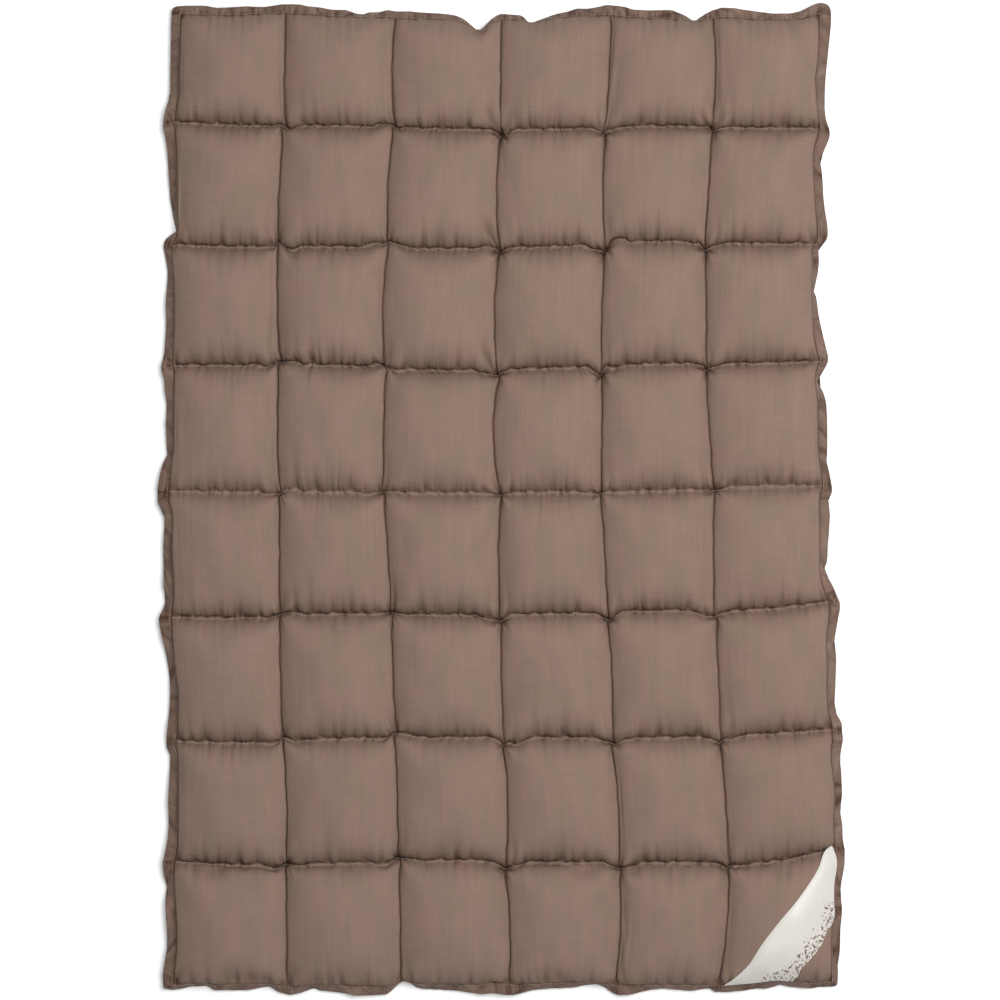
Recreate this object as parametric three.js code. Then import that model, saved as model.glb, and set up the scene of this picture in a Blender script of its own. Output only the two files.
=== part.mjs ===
// A quilted baby duvet that lies flat with its face up, and the pale band sewn across one corner.
// Two cloths are sewn together along long seams and cross seams into filled pockets, and their
// edges, turned in and stitched down, stand out round the pockets as a flat hem.
//
// Millimetres, +Z up. X runs across the duvet and Y along it, +Y towards the top edge. The origin
// is on the surface that the duvet rests on, under the middle of its outline.
import * as THREE from "three";

// Sewn construction
const COLUMNS = 6;
const ROWS = 8;
const SEAM_LEVEL = 11; // middle of the seams above the resting surface
const SEAM_THICKNESS = 2;
const FACE_CROWN = 15; // rise of a full pocket above its seams
const BACK_CROWN = 13; // sag of a pocket below its seams, before the resting surface flattens it
const FULLNESS_SPREAD = 0.06; // how much the pockets differ in their filling

// How a pocket rises between its seams: a higher power is flatter in the middle, a lower root is
// steeper at the seams.
const RISE_ACROSS = { power: 5, root: 0.5 };
const RISE_ALONG = { power: 3.5, root: 0.55 };

// The flat hem
const HEM_WIDTH = 10;
const HEM_DROOP = 4; // fall of its outer edge below the seams
const HEM_CURL = 1.5; // exponent of that fall, larger keeps the hem level for longer
const HEM_WAVE = 1.2; // how far that edge ripples up and down
const HEM_WAVE_LENGTH = 59;
const CORNER_ROUNDING = 3; // exponent of the hem's rounded corners, larger is squarer

// Where each long seam lies: x at the top edge, at each quarter of the length and at the bottom.
const LONG_SEAMS = [
  { name: "left edge", top: -311, upper: -315, middle: -318, lower: -313, bottom: -318 },
  { name: "first", top: -209, upper: -215, middle: -216, lower: -211, bottom: -207 },
  { name: "second", top: -103, upper: -111, middle: -113, lower: -103, bottom: -97 },
  { name: "third", top: 0, upper: -5, middle: -6, lower: 4, bottom: 8 },
  { name: "fourth", top: 106, upper: 98, middle: 98, lower: 109, bottom: 114 },
  { name: "fifth", top: 206, upper: 199, middle: 203, lower: 213, bottom: 217 },
  { name: "right edge", top: 305, upper: 302, middle: 308, lower: 319, bottom: 321 },
];

// Where each cross seam lies: y at the left edge, at each third of the width and at the right edge,
// and how far its two ends push the edges of the duvet out.
const CROSS_SEAMS = [
  { name: "top edge", left: 469, inLeft: 467, inRight: 468, right: 468, juts: [0, 1] },
  { name: "first", left: 364, inLeft: 362, inRight: 358, right: 358, juts: [4, 8] },
  { name: "second", left: 245, inLeft: 244, inRight: 244, right: 246, juts: [6, 3] },
  { name: "third", left: 128, inLeft: 127, inRight: 126, right: 132, juts: [3, 7] },
  { name: "fourth", left: 6, inLeft: 6, inRight: 6, right: 11, juts: [7, 5] },
  { name: "fifth", left: -116, inLeft: -112, inRight: -113, right: -103, juts: [6, 7] },
  { name: "sixth", left: -236, inLeft: -231, inRight: -234, right: -226, juts: [2, 4] },
  { name: "seventh", left: -353, inLeft: -350, inRight: -355, right: -341, juts: [6, 5] },
  { name: "bottom edge", left: -470, inLeft: -470, inRight: -469, right: -466, juts: [2, 0] },
];
const JUT_LENGTH = 15; // how far along the edge a jut fades out
const JUT_REACH = 45; // how far into the duvet it fades out

// Where an edge is drawn in and its hem tucks under: the place along the edge, counted in pockets
// from the top left corner, the depth, and how far the tuck fades out before and after that place.
const TUCKS = [
  { edge: "top", pocket: 2.78, depth: 14, before: 30, after: 15 },
  { edge: "top", pocket: 3.28, depth: 9, before: 7, after: 32 },
  { edge: "top", pocket: 4.82, depth: 10, before: 20, after: 11 },
  { edge: "left", pocket: 1.86, depth: 9, before: 42, after: 9 },
  { edge: "left", pocket: 4.83, depth: 4, before: 18, after: 10 },
  { edge: "right", pocket: 1.28, depth: 5, before: 15, after: 28 },
  { edge: "right", pocket: 2.38, depth: 9, before: 20, after: 34 },
  { edge: "right", pocket: 3.15, depth: 10, before: 12, after: 16 },
  { edge: "right", pocket: 4.68, depth: 5, before: 10, after: 15 },
  { edge: "bottom", pocket: 2, depth: 12, before: 16, after: 18 },
  { edge: "bottom", pocket: 3.78, depth: 6, before: 34, after: 10 },
  { edge: "bottom", pocket: 5.5, depth: 6, before: 14, after: 18 },
];
const TUCK_REACH = 26; // how far into the duvet a tuck fades out

// The band sewn across the lower right pocket, from the right edge seam to the bottom edge seam.
const BAND_THICKNESS = 1;
const BAND_CLEARANCE = 0.6;
const BAND_ON_RIGHT = { upper: -0.05, lower: 0.53 }; // where its end is caught, as a share of the side
const BAND_ON_BOTTOM = { upper: -0.02, lower: 0.61 };
const BAND_STOPS = [0, 0.015, 0.035, 0.06, 0.1, 0.16, 0.24, 0.36, 0.5];
const BAND_STRIPS = 8;

// How finely the solids are faceted: lines across one pocket, closer together by its seams, and
// lines across the hem.
const POCKET_STOPS = [0, 0.06, 0.22, 0.5, 0.78, 0.94];
const HEM_STOPS = [0.5, 1];
const LINE_SPACING = 0.03; // least share of a pocket between a tuck's line and its neighbours

// A smooth line through values that are spaced evenly over 0 to 1.
function along(values, share) {
  const last = values.length - 1;
  const place = Math.min(Math.max(share, 0), 1) * last;
  const i = Math.min(Math.floor(place), last - 1);
  const t = place - i;
  const before = values[Math.max(i - 1, 0)];
  const after = values[Math.min(i + 2, last)];
  const slopeIn = (values[i + 1] - before) / 2;
  const slopeOut = (after - values[i]) / 2;
  const rise = values[i] - values[i + 1];
  return values[i] + t * slopeIn + t * t * (-3 * rise - 2 * slopeIn - slopeOut)
    + t * t * t * (2 * rise + slopeIn + slopeOut);
}

// A value between the neighbouring seams of a list.
function between(seams, place, valueOf) {
  const i = Math.min(Math.floor(place), seams.length - 2);
  return THREE.MathUtils.lerp(valueOf(seams[i]), valueOf(seams[i + 1]), place - i);
}

const longSeamX = (seam, share) =>
  along([seam.top, seam.upper, seam.middle, seam.lower, seam.bottom], share);
const crossSeamY = (seam, share) =>
  along([seam.left, seam.inLeft, seam.inRight, seam.right], share);
const fade = (distance, reach) => Math.max(0, 1 - distance / reach) ** 2;

// How far the ends of the cross seams push one side edge out at a height y.
function jut(side, y, inside) {
  const ends = side === 0 ? "left" : "right";
  const push = CROSS_SEAMS.map((seam) => {
    const offset = (y - seam[ends]) / JUT_LENGTH;
    return seam.juts[side] * Math.exp(-offset * offset);
  });
  return Math.max(...push) * fade(inside, JUT_REACH);
}

// Where a tuck is along its edge: x on the top and bottom edges, y on the left and right edges.
function tuckPlace(tuck) {
  const isSide = tuck.edge === "left" || tuck.edge === "right";
  return between(isSide ? CROSS_SEAMS : LONG_SEAMS, tuck.pocket, (seam) => seam[tuck.edge]);
}

// How far the tucks draw an edge in at one place along it.
function drawnIn(edge, place, inside) {
  const pulls = TUCKS.filter((tuck) => tuck.edge === edge).map((tuck) => {
    const downwards = edge === "left" || edge === "right";
    const offset = (place - tuckPlace(tuck)) * (downwards ? -1 : 1);
    return tuck.depth * fade(Math.abs(offset), offset < 0 ? tuck.before : tuck.after);
  });
  return Math.max(0, ...pulls) * fade(inside, TUCK_REACH);
}

// The plan of the duvet. Column and row count pockets from the top left corner, and run on by up to
// 1 into the hem. Returns x, y and how far out the point lies on the hem, from 0 to 1.
function plan(column, row) {
  const c = THREE.MathUtils.clamp(column, 0, COLUMNS);
  const r = THREE.MathUtils.clamp(row, 0, ROWS);
  let x = between(LONG_SEAMS, c, (seam) => longSeamX(seam, r / ROWS));
  let y = between(CROSS_SEAMS, r, (seam) => crossSeamY(seam, c / COLUMNS));

  const left = x - longSeamX(LONG_SEAMS[0], r / ROWS);
  const right = longSeamX(LONG_SEAMS[COLUMNS], r / ROWS) - x;
  const top = crossSeamY(CROSS_SEAMS[0], c / COLUMNS) - y;
  const bottom = y - crossSeamY(CROSS_SEAMS[ROWS], c / COLUMNS);
  const movedX = jut(1, y, right) - jut(0, y, left) + drawnIn("left", y, left)
    - drawnIn("right", y, right);
  const movedY = drawnIn("bottom", x, bottom) - drawnIn("top", x, top);
  x += movedX;
  y += movedY;

  const outX = column - c;
  const outY = r - row;
  const corner = (Math.abs(outX) ** CORNER_ROUNDING + Math.abs(outY) ** CORNER_ROUNDING)
    ** (1 / CORNER_ROUNDING);
  const out = Math.max(Math.abs(outX), Math.abs(outY));
  const rounding = corner > 0 ? out / corner : 1;
  return {
    x: x + outX * HEM_WIDTH * rounding,
    y: y + outY * HEM_WIDTH * rounding,
    out,
  };
}

// Share of the full crown at a place between two seams.
const rise = (share, { power, root }) => (1 - Math.abs(1 - 2 * share) ** power) ** root;

// No two pockets are filled quite alike.
const fullness = (column, row) => 1 + FULLNESS_SPREAD * Math.sin(2.3 * column + 4.1 * row + 0.7);

// Share of the full crown at a place on the duvet.
function crown(column, row) {
  if (column <= 0 || column >= COLUMNS || row <= 0 || row >= ROWS) return 0;
  const i = Math.floor(column);
  const j = Math.floor(row);
  return rise(column - i, RISE_ACROSS) * rise(row - j, RISE_ALONG) * fullness(i, j);
}

// Height of the hem's middle: it droops outwards and ripples along the edge.
function hemLevel(place) {
  const ripple = Math.sin(2 * Math.PI * (place.x + place.y) / HEM_WAVE_LENGTH);
  return SEAM_LEVEL - HEM_DROOP * place.out ** HEM_CURL + HEM_WAVE * place.out * ripple;
}

function facePoint(column, row) {
  const place = plan(column, row);
  const z = hemLevel(place) + SEAM_THICKNESS / 2 + FACE_CROWN * crown(column, row);
  return new THREE.Vector3(place.x, place.y, z);
}

function backPoint(column, row) {
  const place = plan(column, row);
  const z = hemLevel(place) - SEAM_THICKNESS / 2 - BACK_CROWN * crown(column, row);
  return new THREE.Vector3(place.x, place.y, Math.max(0, z));
}

// A closed sheet between two grids of points, where grid[i][j] are seen from above with i to the
// right and j downwards.
function closedSheet(upper, lower) {
  const wide = upper.length;
  const high = upper[0].length;
  const points = [...upper.flat(), ...lower.flat()];
  const up = (i, j) => i * high + j;
  const down = (i, j) => wide * high + up(i, j);
  const index = [];
  const quad = (a, b, c, d) => index.push(a, b, c, a, c, d);

  for (let i = 0; i + 1 < wide; i++) {
    for (let j = 0; j + 1 < high; j++) {
      quad(up(i, j), up(i, j + 1), up(i + 1, j + 1), up(i + 1, j));
      quad(down(i, j), down(i + 1, j), down(i + 1, j + 1), down(i, j + 1));
    }
    quad(up(i, 0), up(i + 1, 0), down(i + 1, 0), down(i, 0));
    quad(up(i + 1, high - 1), up(i, high - 1), down(i, high - 1), down(i + 1, high - 1));
  }
  for (let j = 0; j + 1 < high; j++) {
    quad(up(0, j + 1), up(0, j), down(0, j), down(0, j + 1));
    quad(up(wide - 1, j), up(wide - 1, j + 1), down(wide - 1, j + 1), down(wide - 1, j));
  }

  const geometry = new THREE.BufferGeometry().setFromPoints(points);
  geometry.setIndex(index);
  geometry.computeVertexNormals();
  return geometry;
}

// The lines of the grid over some number of pockets, with one on each tuck of two opposite edges
// and the hem's lines at both ends.
function gridLines(pockets, edges) {
  const lines = [...HEM_STOPS.map((stop) => -stop), pockets, ...HEM_STOPS.map((stop) => pockets + stop)];
  for (let i = 0; i < pockets; i++) lines.push(...POCKET_STOPS.map((stop) => i + stop));
  for (const tuck of TUCKS.filter((each) => edges.includes(each.edge))) {
    if (lines.every((line) => Math.abs(line - tuck.pocket) > LINE_SPACING)) lines.push(tuck.pocket);
  }
  return lines.sort((a, b) => a - b);
}

// The cover with its filling, as one solid that is pinched to its seams.
function makeDuvet() {
  const columns = gridLines(COLUMNS, ["top", "bottom"]);
  const rows = gridLines(ROWS, ["left", "right"]);
  const face = columns.map((column) => rows.map((row) => facePoint(column, row)));
  const back = columns.map((column) => rows.map((row) => backPoint(column, row)));
  const cloth = new THREE.MeshStandardMaterial({ color: 0x94796a, roughness: 0.85, metalness: 0 });
  const duvet = new THREE.Mesh(closedSheet(face, back), cloth);
  duvet.name = "duvet";
  return duvet;
}

// The corner band. It lies on the lower right pocket and is caught in the edge seams at both ends.
function makeCornerBand() {
  const stops = [...BAND_STOPS, ...BAND_STOPS.slice(0, -1).map((stop) => 1 - stop).reverse()];
  const strips = Array.from({ length: BAND_STRIPS + 1 }, (_, i) => i / BAND_STRIPS);
  const pointOf = (stop, strip, height) => {
    const right = [1, THREE.MathUtils.lerp(BAND_ON_RIGHT.upper, BAND_ON_RIGHT.lower, strip)];
    const bottom = [THREE.MathUtils.lerp(BAND_ON_BOTTOM.upper, BAND_ON_BOTTOM.lower, strip), 1];
    const column = COLUMNS - 1 + THREE.MathUtils.lerp(bottom[0], right[0], stop);
    const row = ROWS - 1 + THREE.MathUtils.lerp(bottom[1], right[1], stop);
    const point = facePoint(column, row);
    point.z += BAND_CLEARANCE + height;
    return point;
  };
  const layer = (height) => stops.map((stop) => strips.map((strip) => pointOf(stop, strip, height)));
  const satin = new THREE.MeshStandardMaterial({ color: 0xe9e7e1, roughness: 0.5, metalness: 0 });
  const band = new THREE.Mesh(closedSheet(layer(BAND_THICKNESS), layer(0)), satin);
  band.name = "corner_band";
  return band;
}

// Everything is moved together, so that the middle of the outline is over the origin.
const duvet = makeDuvet();
const band = makeCornerBand();
duvet.geometry.computeBoundingBox();
const middle = duvet.geometry.boundingBox.getCenter(new THREE.Vector3());

const part = new THREE.Group();
part.add(duvet, band);
for (const piece of part.children) piece.position.set(-middle.x, -middle.y, 0);

export default part;
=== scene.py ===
# A quilted baby duvet that lies flat with its face up, seen from straight above.
#
# Sizes are in millimetres up to the point where a mesh is made. X runs across the duvet, Y along it
# towards the top edge and Z up from the surface that it lies on.
import math

import bpy
import numpy as np
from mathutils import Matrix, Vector
from mathutils.bvhtree import BVHTree


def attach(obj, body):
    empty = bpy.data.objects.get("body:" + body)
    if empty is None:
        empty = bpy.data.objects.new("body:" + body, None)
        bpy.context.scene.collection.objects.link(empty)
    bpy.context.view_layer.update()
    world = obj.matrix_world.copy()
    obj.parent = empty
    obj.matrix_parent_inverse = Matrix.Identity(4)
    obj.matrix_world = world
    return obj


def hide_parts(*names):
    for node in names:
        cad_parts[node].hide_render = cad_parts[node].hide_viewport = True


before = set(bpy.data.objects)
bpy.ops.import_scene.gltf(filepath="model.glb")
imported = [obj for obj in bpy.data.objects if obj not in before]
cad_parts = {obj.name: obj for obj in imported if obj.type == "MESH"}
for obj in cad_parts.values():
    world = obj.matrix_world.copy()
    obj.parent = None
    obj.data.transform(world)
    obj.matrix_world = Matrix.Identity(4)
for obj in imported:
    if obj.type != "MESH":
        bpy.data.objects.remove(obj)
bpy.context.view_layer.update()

MM = 0.001

# Sewn construction
COLUMNS = 6
ROWS = 8
CUT = (112.5, 122.8)  # cloth cut for one pocket, across and along, larger than the sewn pocket
SEAM_LEVEL = 11.0
LONG_SEAM_RISE = 6.0  # how far the filling lifts a long seam between two crossings

# How each side is filled: the height of a full pocket above its cross seams, the height that it
# can't pass, the steps, how hard the filling presses, how stiff the cloth is, and a seed
FACE_FILLING = {"crown": 22.0, "ceiling": None, "steps": 600, "pressure": 0.0005, "fill": 0.12,
                "shear": 0.06, "bend": 0.01, "seed": 5}
BACK_FILLING = {"crown": 14.0, "ceiling": SEAM_LEVEL, "steps": 400, "pressure": 0.004, "fill": 0.02,
                "shear": 0.06, "bend": 0.01, "seed": 6}

# Each long seam: x at the nine cross seams, and half way between them.
LONG_SEAMS = [
    {"name": "left edge", "crossings": [-311, -317, -321, -316, -323, -321, -315, -318, -319],
     "between": [-312, -314, -316, -317, -319, -314, -312, -315]},
    {"name": "first", "crossings": [-209, -211, -217, -215, -215, -215, -212, -209, -208],
     "between": [-210, -215, -217, -217, -215, -214, -208, -208]},
    {"name": "second", "crossings": [-103, -104, -110, -113, -115, -107, -103, -100, -98],
     "between": [-106, -110, -115, -114, -110, -105, -101, -98]},
    {"name": "third", "crossings": [0, -1, -2, -3, -1, -1, 2, 3, 7],
     "between": [-1, -5, -7, -8, -3, 0, 6, 8]},
    {"name": "fourth", "crossings": [106, 100, 100, 97, 96, 103, 107, 114, 110],
     "between": [104, 98, 97, 97, 100, 107, 113, 115]},
    {"name": "fifth", "crossings": [205, 204, 197, 198, 206, 207, 212, 220, 210],
     "between": [207, 200, 198, 201, 205, 210, 217, 218]},
    {"name": "right edge", "crossings": [306, 311, 302, 311, 313, 318, 321, 324, 322],
     "between": [303, 302, 300, 306, 308, 315, 322, 323]},
]

# Each cross seam: y at the left edge, in the middle of each pocket and at the right edge.
CROSS_SEAMS = [
    {"name": "top edge", "left": 468, "pockets": [469, 468, 467, 466, 467, 468], "right": 468},
    {"name": "first", "left": 364, "pockets": [361, 360, 357, 357, 360, 358], "right": 358},
    {"name": "second", "left": 245, "pockets": [243, 243, 241, 243, 248, 246], "right": 246},
    {"name": "third", "left": 128, "pockets": [128, 128, 123, 125, 129, 130], "right": 132},
    {"name": "fourth", "left": 6, "pockets": [5, 5, 4, 5, 6, 11], "right": 11},
    {"name": "fifth", "left": -116, "pockets": [-117, -113, -114, -113, -110, -108], "right": -101},
    {"name": "sixth", "left": -236, "pockets": [-238, -234, -233, -233, -233, -229], "right": -225},
    {"name": "seventh", "left": -353, "pockets": [-356, -355, -352, -354, -354, -352], "right": -340},
    {"name": "bottom edge", "left": -470, "pockets": [-470, -470, -470, -469, -469, -468], "right": -467},
]

# The cross seams are drawn out of line where they meet the long seams. For each crossing: how far
# the seam lies above its line 12 and 6 mm to the left, at the crossing, and 6 and 12 mm to the right,
# and then how deep the crossing is pulled in.
CROSSINGS = [
    [(2, 4, 1, -5, -1, 0.3), (4, 5, 3, -3, 0, 0.4), (1, -2, -5, -7, -1, 1.0),
     (0, -2, -5, 0, -1, 0.6), (1, 3, -2, -2, 0, 0.9)],
    [(-1, -2, 5, 5, -3, 0.2), (4, 1, 6, 8, 4, 0.3), (3, 1, -3, 0, 1, 0.9),
     (-4, -4, -6, 2, 5, 1.0), (0, 0, -6, -4, -2, 0.9)],
    [(-1, 7, 4, 3, 4, 0.4), (2, 5, 3, 3, -3, 0.2), (-3, -5, -4, 0, 1, 0.5),
     (-1, -7, -8, 3, -1, 0.9), (1, 1, -5, -3, -1, 0.8)],
    [(-1, 0, 0, 4, 4, 0.4), (-2, 0, 2, 4, 2, 0.5), (0, -1, -1, 1, 0, 0.4),
     (-2, -2, 0, 2, 0, 0.4), (-1, -2, -1, 0, 0, 0.7)],
    [(-1, 1, 3, 4, 4, 0.5), (0, 3, 2, 4, 1, 0.6), (-4, -5, -5, -3, 0, 0.8),
     (-1, -4, -6, -8, 0, 0.6), (-4, -5, -5, -1, -1, 0.4)],
    [(-3, -1, 5, 4, -1, 0.3), (0, 7, 6, 5, 3, 0.3), (1, -3, -7, -2, -6, 0.4),
     (-2, -3, -4, -6, -2, 0.6), (-2, -5, -5, -1, -2, 0.5)],
    [(-4, -1, 1, 1, -1, 0.9), (-3, 1, 5, 5, 3, 0.6), (-1, -4, -6, -5, -3, 0.8),
     (0, -4, -4, -4, -4, 0.5), (-1, -6, -2, 0, -2, 0.5)],
]
SEAM_CREASE = [0.3, 1.0, 1.0, 1.0, 0.15, 0.9, 0.8, 0.8, 0.3]  # how deep each cross seam is creased, which also sets how much shade is painted along it

# Where along a cross seam those five heights are, with the ends where it is back on its line
CROSSING_PLACES = (-24, -12, -6, 0, 6, 12, 24)
POCKET_LENGTH = 1000.0 / ROWS  # a stand-in until the seams are placed: the cut length in equal rows
LONG_SEAM_WOBBLE = {"height": 0.35, "wave": 31}

# The flat hem outside the edge seams
HEM_WIDTH = 11.5
HEM_THICKNESS = 2.0
HEM_IN_SIGHT = (0.05, 0.96)  # least and most share of its width that is seen from above
HEM_FALL = 0.8  # how much of the rest it sinks by
HEM_LENGTH = 960
HEM_FOLD_SPACING = 17.0
HEM_FOLD = {"slant": 1.1, "width": (1.8, 5.0), "height": (0.7, 2.1)}
SEAM_END = {"off": 1.5, "wave": (4.0, 6.5), "height": (0.8, 1.6), "reach": (5, 10),
            "dip": (1.0, 2.5), "dip_reach": 1.6}
CORNER_ROUNDING = 3.0

# How much shade is painted into the hem's colour: all over, in its folds, at its seam, at its outline and
# in its four corners
HEM_SHADE = 0.31
HEM_FOLD_SHADE = 0.2
HEM_SEAM_SHADE = {"amount": 0.75, "reach": 2.0}
HEM_RIM_SHADE = 0.3
HEM_CORNER_SHADE = {"amount": 0.4, "place": 0.15, "reach": 0.5}
HEM_DARKEST = 0.8

# Where each kind of chance starts
SEEDS = {"kinks": 12, "hems": 21, "folds": 31, "gathers": 77, "long seams": 80, "groove heights": 100,
         "groove lines": 200, "crease strength": 300, "crease heights": 400, "crease lines": 500}

# The four edges, read off the photo in its pixels: a place along the edge, its seam and its outline
PIXEL = 0.97
MIDDLE = (501.5, 499.5)
EDGES = {
    "left": [
        (14, 181, 171.5), (23, 181, 171), (50, 181, 170.5), (75, 180, 170), (95, 180, 170),
        (105, 177.5, 167), (118, 175.5, 163.5), (127, 174.5, 163), (136, 176, 165), (150, 177, 167),
        (175, 178, 168.5), (200, 178, 170), (215, 178.5, 172.5), (225, 179, 174.5),
        (232, 178, 176.5), (235, 177, 169), (240, 175, 164.5), (247, 172, 163), (254, 171.5, 164.5),
        (262, 172.5, 166), (272, 174, 167.5), (290, 175, 166.5), (302, 175, 165.5), (325, 175, 166),
        (340, 174, 165), (355, 173.5, 164), (362, 172, 162), (369, 174, 161), (378, 174.5, 164),
        (390, 174.5, 164.5), (405, 174.5, 166.5), (425, 174.5, 165.5), (450, 174.5, 166.5),
        (457, 173, 167), (462, 172, 162.5), (468, 171.5, 161.5), (475, 170.5, 159.5),
        (490, 169, 157.5), (500, 168.5, 157.5), (505, 169.5, 158), (510, 172.5, 162.5),
        (520, 173.5, 165), (535, 173, 163.5), (550, 172.5, 163), (575, 174, 163.5),
        (588, 174.5, 163.5), (599, 174, 166), (608, 172.5, 163.5), (618, 171, 158.5),
        (628, 172, 160), (640, 173, 162.5), (655, 174.5, 166), (675, 176.5, 169), (690, 179, 170),
        (705, 179, 169.5), (725, 178, 167.5), (735, 177.5, 166.5), (745, 175, 166), (750, 177, 167),
        (754, 178, 170), (770, 179, 169.5), (800, 179, 168), (825, 178.5, 168.5),
        (840, 178.5, 167.5), (850, 177.5, 165.5), (863, 174.5, 162.5), (875, 174, 163.5),
        (890, 175, 167.5), (900, 176, 165), (925, 177.5, 166.5), (945, 177.5, 167.5),
        (960, 176, 165), (975, 174, 162.5), (983, 174, 163),
    ],
    "right": [
        (15, 818.5, 831), (25, 818.5, 831), (35, 818.5, 830), (50, 818, 828.5), (65, 817, 827),
        (78, 814.5, 825.5), (95, 815.5, 825), (112, 817.5, 825), (122, 818.5, 827), (130, 819, 830),
        (138, 817, 829.5), (148, 813.5, 825), (160, 812.5, 820.5), (175, 812.5, 822.5),
        (195, 814, 823.5), (210, 815, 825), (225, 816.5, 827.5), (238, 817, 828), (245, 815, 823),
        (250, 811.5, 818.5), (262, 812, 819.5), (275, 811.5, 818), (290, 811, 814), (298, 811, 817),
        (315, 812, 819), (335, 813, 823), (350, 816, 826.5), (357, 818.5, 828.5), (363, 819, 828),
        (372, 815.5, 823), (382, 814.5, 817.5), (390, 816, 823), (402, 817, 826.5),
        (425, 817.5, 827.5), (450, 818, 827.5), (460, 818.5, 826.5), (470, 820.5, 829),
        (485, 822, 832), (492, 821, 832.5), (498, 819, 828.5), (515, 819, 830), (535, 819, 829),
        (550, 819, 827.5), (561, 819, 828), (567, 819, 824.5), (575, 819.5, 827),
        (587, 822.5, 833.5), (595, 825.5, 836.5), (602, 829, 840), (610, 829.5, 840),
        (620, 828, 838), (632, 826.5, 836), (644, 825.5, 834), (655, 826.5, 836.5),
        (675, 826.5, 836), (700, 826.5, 835), (712, 827.5, 835.5), (722, 831, 841.5),
        (740, 832, 843), (750, 830.5, 841), (760, 830.5, 840), (772, 832, 841.5), (795, 834, 842.5),
        (812, 833, 840.5), (825, 833, 842.5), (840, 834, 843), (850, 834.5, 845), (865, 834, 844.5),
        (880, 833, 842), (892, 833, 840.5), (910, 833, 842.5), (930, 831, 840.5), (955, 831, 840),
        (960, 831, 837.5), (973, 831, 838.5), (980, 831, 838),
    ],
    "top": [
        (180, 15, 5.5), (190, 15.5, 5.5), (205, 16, 5.5), (217, 16, 7.5), (230, 16.5, 7),
        (247, 16, 6), (262, 14.5, 6.5), (275, 14, 5), (283, 14, 4), (292, 14.5, 4), (302, 15, 4.5),
        (306, 15, 6), (320, 16, 7), (330, 17, 9), (346, 17.5, 9.5), (355, 17.5, 12.5),
        (363, 17.5, 14), (368, 17.5, 12), (380, 18, 11.5), (387, 18, 9.5), (397, 19, 11),
        (410, 19.5, 11), (430, 19.5, 12.5), (447, 20, 13.5), (457, 21, 15), (465, 23, 19),
        (473, 28, 26), (478, 31.5, 30.5), (483, 29, 27), (490, 22.5, 19.5), (500, 20, 13),
        (512, 20, 14), (522, 20.5, 15), (526, 22, 18), (529, 24, 23), (540, 21.5, 19),
        (555, 18.5, 13.5), (568, 17.5, 11), (577, 16.5, 8), (590, 16.5, 8), (608, 16.5, 5),
        (617, 17, 6), (625, 18.5, 7), (634, 18.5, 9.5), (650, 19, 10), (665, 19, 9.5),
        (673, 20, 10), (685, 20, 14.5), (695, 22, 21), (700, 21, 16.5), (712, 19, 10),
        (722, 18.5, 7.5), (733, 18.5, 8), (755, 20, 11), (775, 20.5, 13), (790, 20.5, 13),
        (800, 19.5, 11), (812, 16.5, 5), (819, 15.5, 2.5),
    ],
    "bottom": [
        (172, 984, 990.5), (180, 984, 989.5), (190, 983, 987.5), (208, 983, 986.5), (213, 984, 991),
        (225, 984, 990.5), (235, 983.5, 991), (250, 983.5, 990.5), (262, 983.5, 988),
        (271, 983.5, 987), (274, 984, 991), (283, 986, 994), (290, 986.5, 995.5), (300, 986, 993.5),
        (312, 984, 989.5), (314, 984, 988.5), (318, 984, 991), (330, 984.5, 992), (350, 985, 994.5),
        (355, 985.5, 996), (375, 986, 995.5), (387, 986.5, 995), (393, 985.5, 990),
        (400, 982.5, 983.5), (404, 980, 981), (410, 982.5, 984), (417, 983, 988.5), (430, 984, 990),
        (455, 983.5, 991), (470, 984, 993), (481, 983.5, 994.5), (493, 981.5, 993),
        (508, 983, 995.5), (517, 983.5, 994.5), (533, 983, 990.5), (550, 982.5, 989),
        (575, 981, 988), (585, 982, 986), (597, 983.5, 985), (605, 983.5, 988), (612, 984, 993),
        (618, 984.5, 995.5), (630, 984.5, 995), (650, 984, 990.5), (663, 984, 989),
        (680, 984, 990.5), (690, 984, 991.5), (705, 984, 989.5), (712, 985, 989),
        (714, 984.5, 992.5), (728, 984, 992.5), (745, 984, 991), (758, 982.5, 989),
        (765, 982, 989.5), (775, 980, 987), (781, 980.5, 985), (790, 981, 987.5), (812, 982, 989),
        (822, 981.5, 987.5),
    ],
}
EDGE_REACH = 26.0  # how far into the duvet the bends of an edge are felt
EDGE_SOFTENING = (-2.0, -1.0, 0.0, 1.0, 2.0)

# How finely the cloth is divided
POCKET_CELLS = (52, 24)
STRIP_CELLS = 4
HEM_CELLS = 8
BEAD = 3.8  # the bead of cloth along each cross seam, as cut
BEAD_SEWN = 3.0  # the same in plan


def smooth_line(places, values, at):
    """A smooth line through values at uneven places."""
    places = np.asarray(places, float)
    values = np.asarray(values, float)
    slopes = np.gradient(values, places)
    i = np.clip(np.searchsorted(places, at, side="right") - 1, 0, len(places) - 2)
    span = places[i + 1] - places[i]
    t = (at - places[i]) / span
    return (
        values[i] * (1 + 2 * t) * (1 - t) ** 2
        + slopes[i] * span * t * (1 - t) ** 2
        + values[i + 1] * t * t * (3 - 2 * t)
        + slopes[i + 1] * span * t * t * (t - 1)
    )


def long_seam_x(seam, rows):
    """x of one long seam: it bows between the crossings that hold it."""
    r = np.clip(rows.astype(int), 0, ROWS - 1)
    t = rows - r
    crossings, between = np.array(seam["crossings"], float), np.array(seam["between"], float)
    return (
        crossings[r] * (1 - t) * (1 - 2 * t)
        + between[r] * 4 * t * (1 - t)
        + crossings[r + 1] * t * (2 * t - 1)
    )


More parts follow.
